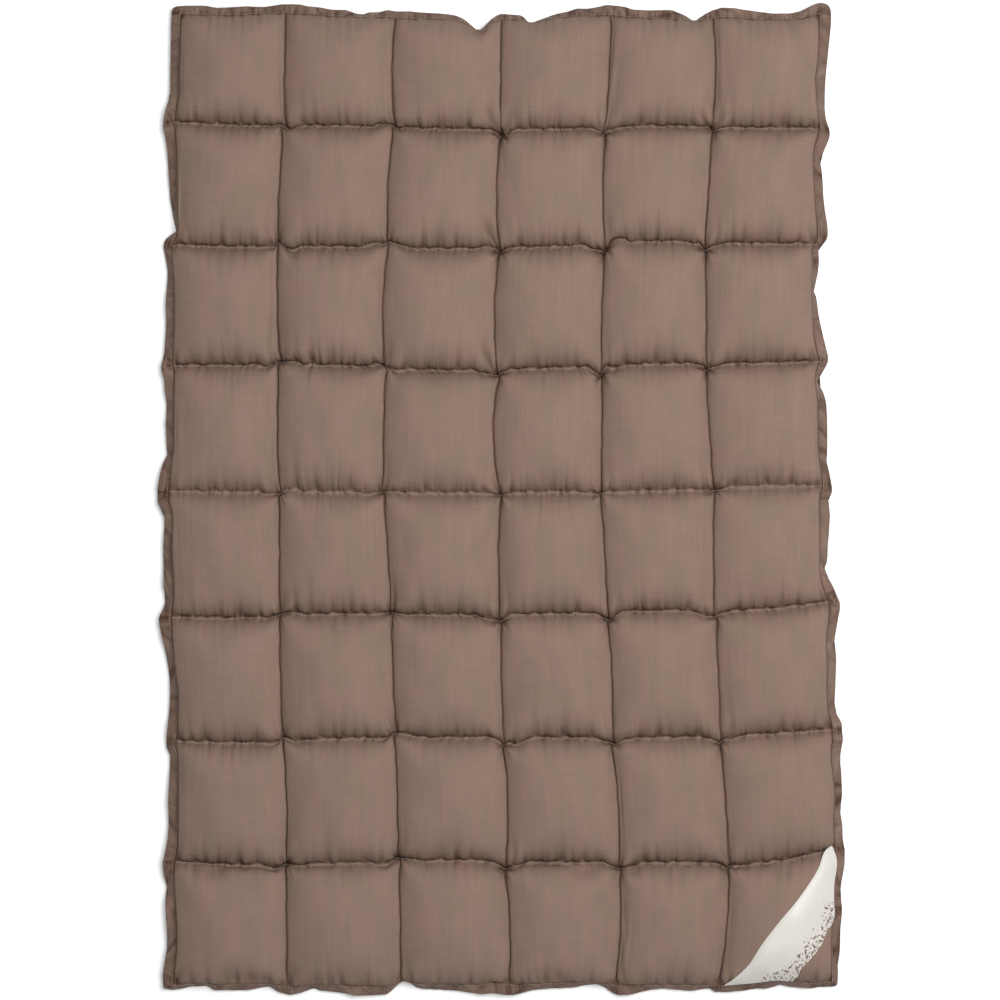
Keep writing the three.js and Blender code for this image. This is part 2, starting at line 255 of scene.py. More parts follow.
def cross_seam_y(seam, columns):
    places = [0, *(column + 0.5 for column in range(COLUMNS)), COLUMNS]
    return smooth_line(places, [seam["left"], *seam["pockets"], seam["right"]], columns)


def between_seams(seam_values, place):
    """Values between neighbouring seams, where seam_values has one row for each seam."""
    i = np.minimum(place.astype(int), len(seam_values) - 2)
    t = place - i
    other = np.arange(seam_values.shape[1])
    other = other[None, :] if place.shape[1] == seam_values.shape[1] else other[:, None]
    return seam_values[i, other] * (1 - t) + seam_values[i + 1, other] * t


def fade(distance, reach):
    return np.clip(1 - np.abs(distance) / reach, 0, 1) ** 2


def ripple(place, wave, seed):
    """Uneven waves of about one length, between -2 and 2."""
    phases = np.random.default_rng(seed).uniform(0, 2 * np.pi, 4)
    lengths = wave * np.array([0.7, 1.0, 1.37, 2.1])
    return sum(np.sin(2 * np.pi * place / w + p) for w, p in zip(lengths, phases)) / 2


class Lines:
    """The lines of the cloth's grid in one direction, from one outer edge of the hem to the other."""

    def __init__(self, pockets, cells, strip_cells, tight, reach, cut):
        steps = np.arange(cells)
        near = np.minimum(steps, cells - 1 - steps)
        widths = 1 - (1 - tight) * np.exp(-near / reach)
        inside = np.concatenate([[0], np.cumsum(widths)[:-1]]) / widths.sum()
        hem = np.arange(HEM_CELLS) / HEM_CELLS

        pocket, share, strip = [0] * HEM_CELLS, [0.0] * HEM_CELLS, [0.0] * HEM_CELLS
        out = list(hem - 1)
        for k in range(pockets):
            has_strip = strip_cells and k < pockets - 1
            pocket += [k] * cells
            share += list(inside)
            strip += [0.0] * cells
            if has_strip:
                pocket += [k] * strip_cells
                share += [1.0] * strip_cells
                strip += list(np.arange(strip_cells) / strip_cells)
        out += [0.0] * (len(pocket) - HEM_CELLS)
        pocket += [pockets - 1] * (HEM_CELLS + 1)
        share += [1.0] * (HEM_CELLS + 1)
        strip += [0.0] * (HEM_CELLS + 1)
        out += [0.0, *(hem + 1 / HEM_CELLS)]

        self.pockets = pockets
        self.pocket, self.share = np.array(pocket), np.array(share)
        self.strip, self.out = np.array(strip), np.array(out)
        self.has_strip = bool(strip_cells) & (self.pocket < pockets - 1)
        self.cut = cut

    def every_second(self):
        half = object.__new__(Lines)
        half.pockets, half.cut = self.pockets, self.cut
        for name in ("pocket", "share", "strip", "out", "has_strip"):
            setattr(half, name, getattr(self, name)[::2])
        return half

    def inner(self):
        """Without the hem."""
        inner = object.__new__(Lines)
        inner.pockets, inner.cut = self.pockets, self.cut
        for name in ("pocket", "share", "strip", "out", "has_strip"):
            setattr(inner, name, getattr(self, name)[self.out == 0])
        return inner

    def place(self, length):
        """Counted in pockets, with the strip taking its share of a pocket of this length."""
        strip = BEAD_SEWN / length * self.has_strip
        return self.pocket + self.share * (1 - strip) + self.strip * strip

    def cut_place(self):
        """Millimetres of cut cloth from the first edge seam."""
        strip = BEAD * self.has_strip
        return (self.pocket * self.cut + self.share * (self.cut - strip)
                + self.strip * strip + self.out * HEM_WIDTH)


def make_lines():
    across = Lines(COLUMNS, POCKET_CELLS[0], 0, 0.22, 3.0, CUT[0])
    down = Lines(ROWS, POCKET_CELLS[1], STRIP_CELLS, 0.28, 4.0, CUT[1])
    return across, down


PIT = 4.0  # how deep the crossings are pulled in
PIT_LENGTH = 6.0
# The pits in the four corners: how far they reach, how deep they are and how much shade is painted into
# them
CORNER_PIT = {"reach": 4.0, "depth": 1.5, "dark": 0.8}
SLIT = (1.5, 7.0)  # half width and half length of the slit at a crossing, pulled down and with shade painted into it
KNOT = 3.5  # how far its pull and its painted shade reach all round
PLEATS = 6  # small folds round a crossing
PLEAT_DEPTH = 1.4
PINCH = 0.85  # how far the cloth round a crossing is drawn in to it
PINCH_LENGTH = 12.0
KINK = 5.0  # how far a long seam swings out beside a crossing
KINK_LENGTH = 8.0


def pit_depths():
    """How deep each crossing is pulled in, by long seam and cross seam."""
    depths = np.full((COLUMNS + 1, ROWS + 1), 0.35)
    depths[1:-1, 1:-1] = [[crossing[5] for crossing in seam] for seam in zip(*CROSSINGS)]
    return depths * PIT


def edge_lines(edge, along):
    """How far out the seam and the outline of an edge lie, at the given places along it."""
    readings = np.array(EDGES[edge])
    if edge in ("left", "right"):
        places, lines = MIDDLE[1] - readings[::-1, 0], readings[::-1, 1:] - MIDDLE[0]
    else:
        places, lines = readings[:, 0] - MIDDLE[0], MIDDLE[1] - readings[:, 1:]
    return [sum(np.interp(along + shift, PIXEL * places, PIXEL * line) for shift in EDGE_SOFTENING)
            / len(EDGE_SOFTENING) for line in lines.T]


def hem_folds(along, out, seed, seam_ends):
    """Soft folds across the hem, slanted at random, and small pleats where the seams end."""
    draw = np.random.default_rng(seed)
    height = np.zeros_like(along)
    for k in range(int(HEM_LENGTH / HEM_FOLD_SPACING)):
        place = -HEM_LENGTH / 2 + (k + draw.uniform(0.1, 0.9)) * HEM_FOLD_SPACING
        slant = draw.uniform(-HEM_FOLD["slant"], HEM_FOLD["slant"]) * HEM_WIDTH
        width = draw.uniform(*HEM_FOLD["width"])
        amount = draw.choice([-1.0, 1.0]) * draw.uniform(*HEM_FOLD["height"])
        offset = (along - place - slant * out) / width
        height += amount * np.exp(-offset ** 2)
    for place in seam_ends:
        offset = along - place - draw.uniform(-SEAM_END["off"], SEAM_END["off"])
        wave = np.cos(2 * np.pi * offset / draw.uniform(*SEAM_END["wave"]))
        height += (draw.uniform(*SEAM_END["height"]) * wave
                   * np.exp(-(offset / draw.uniform(*SEAM_END["reach"])) ** 2))
        height -= draw.uniform(*SEAM_END["dip"]) * np.exp(-(offset / SEAM_END["dip_reach"]) ** 2)
    return height


def plan(across, down):
    """The whole cloth in plan, in arrays of across by down.

    Gives x, y, how far the hem falls, how far out on the hem each point is, and how much shade is painted
    into it."""
    column = across.place(1.0)[:, None] + np.zeros(len(down.pocket))[None, :]
    row = down.place(POCKET_LENGTH)[None, :] + np.zeros(len(across.pocket))[:, None]
    seam_x = np.stack([long_seam_x(seam, row[0]) for seam in LONG_SEAMS])
    seam_y = np.stack([cross_seam_y(seam, column[:, 0]) for seam in CROSS_SEAMS])

    # Each seam is drawn out of line at its crossings
    for r in range(1, ROWS):
        j = np.argmin(np.abs(row[0] - r))
        seam_line = np.interp(column[:, 0], range(COLUMNS + 1), seam_x[:, j])
        for c in range(1, COLUMNS):
            offset = np.clip(seam_line - seam_x[c, j], CROSSING_PLACES[0], CROSSING_PLACES[-1])
            heights = CROSSINGS[r - 1][c - 1][:5]
            seam_y[r] += smooth_line(CROSSING_PLACES, [0, *heights, 0], offset)
    for c in range(1, COLUMNS):
        seam_x[c] += LONG_SEAM_WOBBLE["height"] * ripple(
            row[0] * POCKET_LENGTH, LONG_SEAM_WOBBLE["wave"], SEEDS["long seams"] + c)
    swing = np.random.default_rng(SEEDS["kinks"]).uniform(-1, 1, (COLUMNS + 1, ROWS + 1))
    for r in range(1, ROWS):
        offset = (row[0] - r) * POCKET_LENGTH / KINK_LENGTH
        for c in range(1, COLUMNS):
            seam_x[c] += KINK * swing[c, r] * offset * np.exp(1 - offset ** 2)

    x = between_seams(seam_x, column)
    y = between_seams(seam_y, row)
    widths = {}
    moved_x, moved_y = np.zeros_like(x), np.zeros_like(y)
    for edge, smooth_seam in (("left", seam_x[0][None, :]), ("right", seam_x[-1][None, :]),
                              ("top", seam_y[0][:, None]), ("bottom", seam_y[-1][:, None])):
        sideways = edge in ("left", "right")
        seam, outline = edge_lines(edge, y if sideways else x)
        widths[edge] = np.abs(outline - seam)
        if sideways:
            moved_x += (seam - smooth_seam) * fade(x - smooth_seam, EDGE_REACH)
        else:
            moved_y += (seam - smooth_seam) * fade(y - smooth_seam, EDGE_REACH)
    x = x + moved_x
    y = y + moved_y

    # The hem
    out_x, out_y = across.out[:, None] + 0 * x, -down.out[None, :] + 0 * y
    out = np.maximum(np.abs(out_x), np.abs(out_y))
    corner = (np.abs(out_x) ** CORNER_ROUNDING + np.abs(out_y) ** CORNER_ROUNDING) ** (
        1 / CORNER_ROUNDING)
    rounding = np.where(corner > 0, out / np.maximum(corner, 1e-9), 1)
    on_side = np.abs(out_x) >= np.abs(out_y)
    width_x = np.where(out_x < 0, widths["left"], widths["right"])
    width_y = np.where(out_y > 0, widths["top"], widths["bottom"])
    width = np.where(on_side, width_x, width_y)
    droop = np.arccos(np.clip(width / HEM_WIDTH, *HEM_IN_SIGHT))
    folds = np.zeros_like(x)
    hems = ((on_side & (out_x < 0), y, seam_y[1:-1, 0]), (on_side & (out_x > 0), y, seam_y[1:-1, -1]),
            (~on_side & (out_y > 0), x, seam_x[1:-1, 0]), (~on_side & (out_y < 0), x, seam_x[1:-1, -1]))
    for seed, (where, along, ends) in enumerate(hems, SEEDS["hems"]):
        folds += where * hem_folds(along, out, seed, ends)
    x = x + out_x * width_x * rounding
    y = y + out_y * width_y * rounding
    fall = -out * HEM_WIDTH * np.sin(droop) * HEM_FALL + folds * out ** 0.7
    # Shade painted into the hem: all over, in its folds, at its seam, at its outline and in its corners
    at_seam = np.exp(-(out * HEM_WIDTH / HEM_SEAM_SHADE["reach"]) ** 2)
    shade = HEM_SHADE - HEM_FOLD_SHADE * folds + HEM_SEAM_SHADE["amount"] * at_seam
    from_corner = (np.abs(edge) - HEM_CORNER_SHADE["place"] for edge in (out_x, out_y))
    in_corner = np.exp(-(np.hypot(*from_corner) / HEM_CORNER_SHADE["reach"]) ** 2) * (out_x * out_y != 0)
    shade += (HEM_RIM_SHADE * np.exp(-((1 - out) * HEM_WIDTH) ** 2)
              + HEM_CORNER_SHADE["amount"] * in_corner)
    return x, y, fall, out, np.clip(shade, 0, HEM_DARKEST) * (out > 0)


class Cloth:
    """A grid of cloth whose cells keep their cut size, held along the seams."""

    def __init__(self, points, held, cut_x, cut_y, ease, shear):
        self.p = np.ascontiguousarray(points, np.float32)
        self.old = self.p.copy()
        self.free = np.where(held, 0, 1).astype(np.float32)
        self.dx, self.dy = np.diff(cut_x).astype(np.float32), np.diff(cut_y).astype(np.float32)
        self.links = []
        n, m = self.free.shape
        every = slice(None)
        down = ease * self.dy[None, :]
        for first in (0, 1):
            a, b = slice(first, n - 1, 2), slice(first + 1, n, 2)
            self.link((a, every), (b, every), self.dx[first::2][:, None], 1.0)
            c, d = slice(first, m - 1, 2), slice(first + 1, m, 2)
            self.link((every, c), (every, d), down[:, first::2], 1.0)
        for first in (0, 1):
            a, b = slice(first, n - 1, 2), slice(first + 1, n, 2)
            diagonal = np.hypot(self.dx[first::2][:, None], (down[a] + down[b]) / 2)
            self.link((a, slice(0, m - 1)), (b, slice(1, m)), diagonal, shear)
            self.link((a, slice(1, m)), (b, slice(0, m - 1)), diagonal, shear)

    def link(self, a, b, length, stiffness):
        free_a, free_b = self.free[a], self.free[b]
        total = np.maximum(free_a + free_b, 1e-6)
        length = np.ascontiguousarray(np.broadcast_to(length, free_a.shape), np.float32)
        every = (slice(None),)
        self.links.append((every + a, every + b, length, (stiffness * free_a / total).astype(np.float32),
                           (stiffness * free_b / total).astype(np.float32)))

    def keep_lengths(self):
        for a, b, length, move_a, move_b in self.links:
            d = self.p[b] - self.p[a]
            now = np.sqrt(d[0] * d[0] + d[1] * d[1] + d[2] * d[2])
            change = 1 - length / np.maximum(now, 1e-4)
            self.p[a] += (move_a * change) * d
            self.p[b] -= (move_b * change) * d

    def smooth(self, amount):
        """Bending stiffness: each point moves towards the line through its neighbours."""
        p, moves = self.p, np.zeros_like(self.p)
        a, b = self.dx[:-1][None, :, None], self.dx[1:][None, :, None]
        d = ((p[:, :-2] * b + p[:, 2:] * a) / (a + b) - p[:, 1:-1]) * np.float32(amount)
        moves[:, 1:-1] += d
        moves[:, :-2] -= 0.5 * d
        moves[:, 2:] -= 0.5 * d
        a, b = self.dy[:-1][None, None, :], self.dy[1:][None, None, :]
        d = ((p[:, :, :-2] * b + p[:, :, 2:] * a) / (a + b) - p[:, :, 1:-1]) * np.float32(amount)
        moves[:, :, 1:-1] += d
        moves[:, :, :-2] -= 0.5 * d
        moves[:, :, 2:] -= 0.5 * d
        p += moves * self.free


def normals_of(p):
    """Unit normals of a grid of points, pointing up where x grows with i and y falls with j."""
    across, down = np.gradient(p, axis=1), np.gradient(p, axis=2)
    n = np.stack([
        down[1] * across[2] - down[2] * across[1],
        down[2] * across[0] - down[0] * across[2],
        down[0] * across[1] - down[1] * across[0],
    ])
    return n / np.maximum(np.sqrt((n * n).sum(0)), 1e-6)


# The crown of a pocket between its seams: a higher power is flatter in the middle, and a lower root is
# steeper at the seams.
RISE_ACROSS = {"power": 2.1, "root": 1.0}
RISE_UPPER = {"power": 3.0, "root": 0.85}
RISE_LOWER = {"power": 3.0, "root": 0.8}
CORNER_POWER = 4.0  # higher for squarer corners of the pockets
LONG_GROOVE = 1.4
CREASE = 3.2
LOWER_GROOVE = 0.2
BEAD_HEIGHT = 1.0
FACE_LEAST = 2.0  # the least height of the face's creases over the floor
COVER_GAP = 1.2  # what stays between them and the back
PAINTED_SHADE_CREASE = 1.1  # how far the shade painted along each kind of seam reaches
PAINTED_SHADE_GROOVE = 0.8
PAINTED_SHADE_LONG = 0.65
PAINTED_SHADE_SOFT = (0.31, 0.24, 0.16)  # painted shade above and below a cross seam, and right of a long seam where the pocket's side turns away from the lamp
PAINTED_SHADE_SOFT_REACH = (5, 6, 4)
LONG_SEAM_EASE = 0.9  # length of the cloth along a long seam, of what is cut
LONG_SEAM_REACH = 14.0

# Soft puckers that run up and down from the cross seams, above and below each seam
GATHER_SPACING = 15.0
GATHER_DEPTH = (0.9, 4.0)
GATHER_REACH = (7.0, 15.0)
GATHER_LEAN = 0.35
GATHER_WAVES = {"drift": 48, "strength": 31, "reach": 27}


def rise(share, power, root=1.0):
    return np.clip(1 - np.abs(1 - 2 * share) ** power, 1e-4, 1) ** np.float32(root)


def dome(u, v):
    """Share of the full crown: it follows the rise from the nearer seam, less in the corners."""
    a = rise(u, **RISE_ACROSS)
    b = np.where(v > 0.5, rise(v, **RISE_LOWER), rise(v, **RISE_UPPER))
    k = CORNER_POWER
    return a * b / (a ** k + b ** k - (a * b) ** k) ** (1 / k)


def uneven(place, wave, seed):
    """Uneven values between 0 and 1 along a line."""
    return 0.5 + 0.25 * ripple(place, wave, seed)


def gathers(x, distances, u, pocket_r):
    """How deep the puckers are pressed in, given how far each point lies from the seams of its row."""
    depth = np.zeros_like(x)
    for end, distance in enumerate(distances):
        for r in range(ROWS):
            rows = pocket_r == r
            seed = SEEDS["gathers"] + 10 * r + end
            far = distance[:, rows]
            place = x[:, rows] - GATHER_LEAN * (u[:, rows] - 0.5) * far
            phase = (place + 4 * ripple(place, GATHER_WAVES["drift"], seed)) / GATHER_SPACING
            strength = np.clip(uneven(place, GATHER_WAVES["strength"], seed + 1) * 2.6 - 0.7, 0.1, 1)
            reach = GATHER_REACH[end] * (0.4 + 1.2 * uneven(place, GATHER_WAVES["reach"], seed + 2))
            wave = 0.75 - np.abs(np.sin(np.pi * phase)) ** 0.7
            depth[:, rows] += GATHER_DEPTH[end] * strength * wave * np.exp(-(far / reach) ** 1.4)
    return depth


# Folds that a crossing pulls into the pockets round it, besides the chance ones: the long seam and
# the cross seam that meet there, the angle from straight up, positive to the right, the length and
# the depth.
FOLDS = [
    {"long": 3, "cross": 1, "angle": -26, "length": 34, "depth": 4.2},
    {"long": 3, "cross": 1, "angle": 30, "length": 28, "depth": 3.6},
    {"long": 3, "cross": 2, "angle": -28, "length": 40, "depth": 4.6},
    {"long": 3, "cross": 3, "angle": -22, "length": 38, "depth": 4.2},
    {"long": 3, "cross": 4, "angle": -24, "length": 22, "depth": 2.4},
    {"long": 4, "cross": 1, "angle": 12, "length": 16, "depth": 1.8},
    {"long": 4, "cross": 2, "angle": 24, "length": 18, "depth": 1.8},
    {"long": 2, "cross": 1, "angle": -38, "length": 18, "depth": 2.2},
    {"long": 2, "cross": 2, "angle": 38, "length": 14, "depth": 2.0},
]
FOLD_WIDTH = 3.1
CHANCE_FOLDS = {"up": {"angle": (22, 50), "length": (9, 26), "depth": (0.6, 2.6)},
                "down": {"angle": (20, 60), "length": (5, 14), "depth": (0.3, 1.3)}}


def all_folds():
    """The named folds, and chance ones above and below the crossings, to both sides."""
    draw = np.random.default_rng(SEEDS["folds"])
    folds = list(FOLDS)
    for c in range(COLUMNS + 1):
        for r in range(1, ROWS + 1):
            for way, away in (("up", -1), ("up", 1), ("down", -1), ("down", 1)):
                angle, length, depth = (draw.uniform(*CHANCE_FOLDS[way][size])
                                        for size in ("angle", "length", "depth"))
                up = way == "up"
                inside = 0 <= c + ((away if up else -away) - 1) // 2 < COLUMNS
                known = any(f["long"] == c and f["cross"] == r and f["angle"] * away > 0 for f in FOLDS)
                if inside and (not known if up else r < ROWS):
                    folds.append({"long": c, "cross": r, "angle": away * angle + (0 if up else 180),
                                  "length": length, "depth": depth})
    return folds


def row_kinds(down):
    """Which rows of the grid are creases, which are the grooves below them or an edge seam."""
    crease = (down.share == 1) & (down.strip == 0) & down.has_strip
    groove = ((down.share == 0) & (down.strip == 0)) | ((down.share == 1) & ~down.has_strip)
    return crease, groove


def crease_strength(x, r):
    """How sharply the crease above a cross seam is drawn in, and how strong the shade painted along it is,
    at each place along that seam.
    """
    return SEAM_CREASE[r] * (0.45 + 0.7 * uneven(x, 60, SEEDS["crease strength"] + r))


def press_folds(p, across, down):
    """Presses the gathers, the folds at the crossings and the pits into a settled cloth.

    Gives the cloth, and how much shade is painted into each point, 0 to 1: most in the creases, pits and
    folds that light hardly reaches."""
    x, y = p[0], p[1]
    u = across.share[:, None] + 0 * x
    crease, groove = row_kinds(down)
    lower = np.concatenate([y[:, crease], y[:, groove][:, -1:]], 1)
    distances = [np.maximum(y[:, groove][:, down.pocket] - y, 0), np.maximum(y - lower[:, down.pocket], 0)]
    on_long = (across.share == 0) | (across.share == 1)
    pocket = (down.strip == 0)[None, :] & ~(crease | groove)[None, :] & ~on_long[:, None]
    seams_x = x[on_long]
    next_seam = across.pocket + 1 - (across.pocket == COLUMNS)
    side_distance = np.minimum(np.abs(x - seams_x[across.pocket]), np.abs(seams_x[next_seam] - x))
    inside = pocket * np.clip(side_distance / 6, 0, 1)
    depth = gathers(x, distances, u, down.pocket) * inside * np.clip(distances[1] / 1.5, 0, 1)
    lines, rows, creases = np.flatnonzero(on_long), np.flatnonzero(groove), np.flatnonzero(crease)
    folds = np.zeros_like(x)
    for fold in all_folds():
        upwards = abs(fold["angle"]) < 90 and fold["cross"] < ROWS
        i, j = lines[fold["long"]], creases[fold["cross"] - 1] if upwards else rows[fold["cross"]]
        turn = math.radians(fold["angle"])
        near_x, near_y = x - x[i, j], y - y[i, j]
        along = near_x * math.sin(turn) + near_y * math.cos(turn)
        side = near_x * math.cos(turn) - near_y * math.sin(turn)
        share = np.clip(along / fold["length"], 0, 1)
        width = FOLD_WIDTH * (0.8 + 1.1 * share)
        shape = np.exp(-(side / width) ** 2)
        shape -= 0.4 * np.exp(-((side + 1.9 * width * np.sign(fold["angle"])) / width) ** 2)
        folds += (fold["depth"] * shape * (1 - share) ** 0.9 * (along > 0) * np.clip(along / 2, 0, 1)
                  * pocket)
    depth = depth + folds
    p = p - normals_of(p) * depth
    depth_at = pit_depths()
    # Shade painted into the gathers and folds, more where they are deeper
    painted_shade = 0.16 * np.clip(depth, 0, 3.5) + 0.06 * np.clip(folds, 0, 4)
    moved = np.zeros_like(p)
    for c, i in enumerate(lines[1:-1], 1):
        for r, j in enumerate(rows[1:-1], 1):
            apart = (x - x[i, j]) ** 2 + (y - y[i, j]) ** 2
            near = np.exp(-apart / PINCH_LENGTH ** 2)
            moved[0] += PINCH * near * (x[i, j] - x)
            moved[1] += PINCH * near * (y[i, j] - y)
            moved[2] -= depth_at[c, r] * 0.5 * near
    p = p + moved
    x, y = p[0].copy(), p[1].copy()
    # The four corners are pulled down into pits, with shade painted into them
    for i in (lines[0], lines[-1]):
        for j in (rows[0], rows[-1]):
            near = np.exp(-((x - x[i, j]) ** 2 + (y - y[i, j]) ** 2) / CORNER_PIT["reach"] ** 2)
            p[2] -= CORNER_PIT["depth"] * near
            painted_shade = np.maximum(painted_shade, CORNER_PIT["dark"] * near)
    # Each crossing gets a slit and small pleats pulled down, with shade painted into them
    for c, i in enumerate(lines[1:-1], 1):
        for r, j in enumerate(rows[1:-1], 1):
            left, right = CROSSINGS[r - 1][c - 1][1], CROSSINGS[r - 1][c - 1][3]
            turn = math.atan2(right - left, 12.0)
            near_x, near_y = x - x[i, j], y - y[i, j] - 1.0
            along = near_x * math.cos(turn) + near_y * math.sin(turn)
            side = near_y * math.cos(turn) - near_x * math.sin(turn)
            slit = np.exp(-(side / SLIT[0]) ** 2 - (along / SLIT[1]) ** 2)
            away = np.hypot(near_x, near_y)
            round_it = np.exp(-(away / KNOT) ** 2)
            p[2] -= depth_at[c, r] * (0.9 * slit + 0.3 * round_it)
            painted_shade = np.maximum(painted_shade, depth_at[c, r] / PIT * (2.0 * slit + 0.6 * round_it))
            angle = np.arctan2(near_y, near_x)
            pleats = np.sin(PLEATS * angle + 2.2 * np.sin(angle + c) + 1.7 * r + away / 4)
            pleats = np.clip(pleats + 0.3, -0.4, 1) * np.exp(-((away - 5) / 4.5) ** 2)
            moved_in = np.clip(away / 3, 0, 1) * pleats * (0.3 + 0.7 * depth_at[c, r] / PIT)
            p[2] -= PLEAT_DEPTH * moved_in
            painted_shade = np.maximum(painted_shade, 0.75 * np.clip(moved_in, 0, 1))
    # Painted shade along the crease above each cross seam
    for r, j in enumerate(np.flatnonzero(crease), 1):
        above = p[1] - p[1][:, j:j + 1]
        reach = np.where(above > 0, PAINTED_SHADE_CREASE, 0.5)
        sharp = np.exp(-(above / reach) ** 2)
        painted_shade = np.maximum(painted_shade, crease_strength(x[:, j], r)[:, None] * sharp)
    # Soft painted shade above and below each cross seam
    soft = (PAINTED_SHADE_SOFT[0] * np.exp(-distances[1] / PAINTED_SHADE_SOFT_REACH[0])
            + PAINTED_SHADE_SOFT[1] * np.exp(-distances[0] / PAINTED_SHADE_SOFT_REACH[1]))
    # Painted shade along the grooves below the cross seams and along the top and bottom edge seams
    for r, j in enumerate(rows):
        away = np.abs(p[1] - p[1][:, j:j + 1]) / PAINTED_SHADE_GROOVE
        strength = 0.2 + 0.25 * SEAM_CREASE[r] if 0 < r < ROWS else 0.65
        painted_shade = np.maximum(painted_shade, strength * np.exp(-away ** 2))
    # Painted shade along each long seam, and soft painted shade right of it where the pocket's side turns
    # away from the lamp
    for i in lines:
        away = p[0] - p[0][i:i + 1]
        painted_shade = np.maximum(painted_shade, np.exp(-(away / PAINTED_SHADE_LONG) ** 2))
        soft = soft + PAINTED_SHADE_SOFT[2] * np.exp(-away / PAINTED_SHADE_SOFT_REACH[2]) * (away > 0)
    painted_shade = painted_shade + np.where(pocket, soft, 0)
    return p, np.clip(painted_shade, 0, 1)


def unfold(p, held):
    """Smooths the few places where the cloth has folded sideways over itself."""
    for _ in range(12):
        folded = np.zeros(held.shape, bool)
        over = np.diff(p[0], axis=0) < 0.12
        folded[1:] |= over
        folded[:-1] |= over
        folded[2:] |= over[:-1]
        folded[:-2] |= over[1:]
        mean = p.copy()
        mean[:, 1:-1, 1:-1] = (p[:, :-2, 1:-1] + p[:, 2:, 1:-1] + p[:, 1:-1, :-2] + p[:, 1:-1, 2:]) / 4
        p = np.where(folded & ~held, mean, p)
    return p


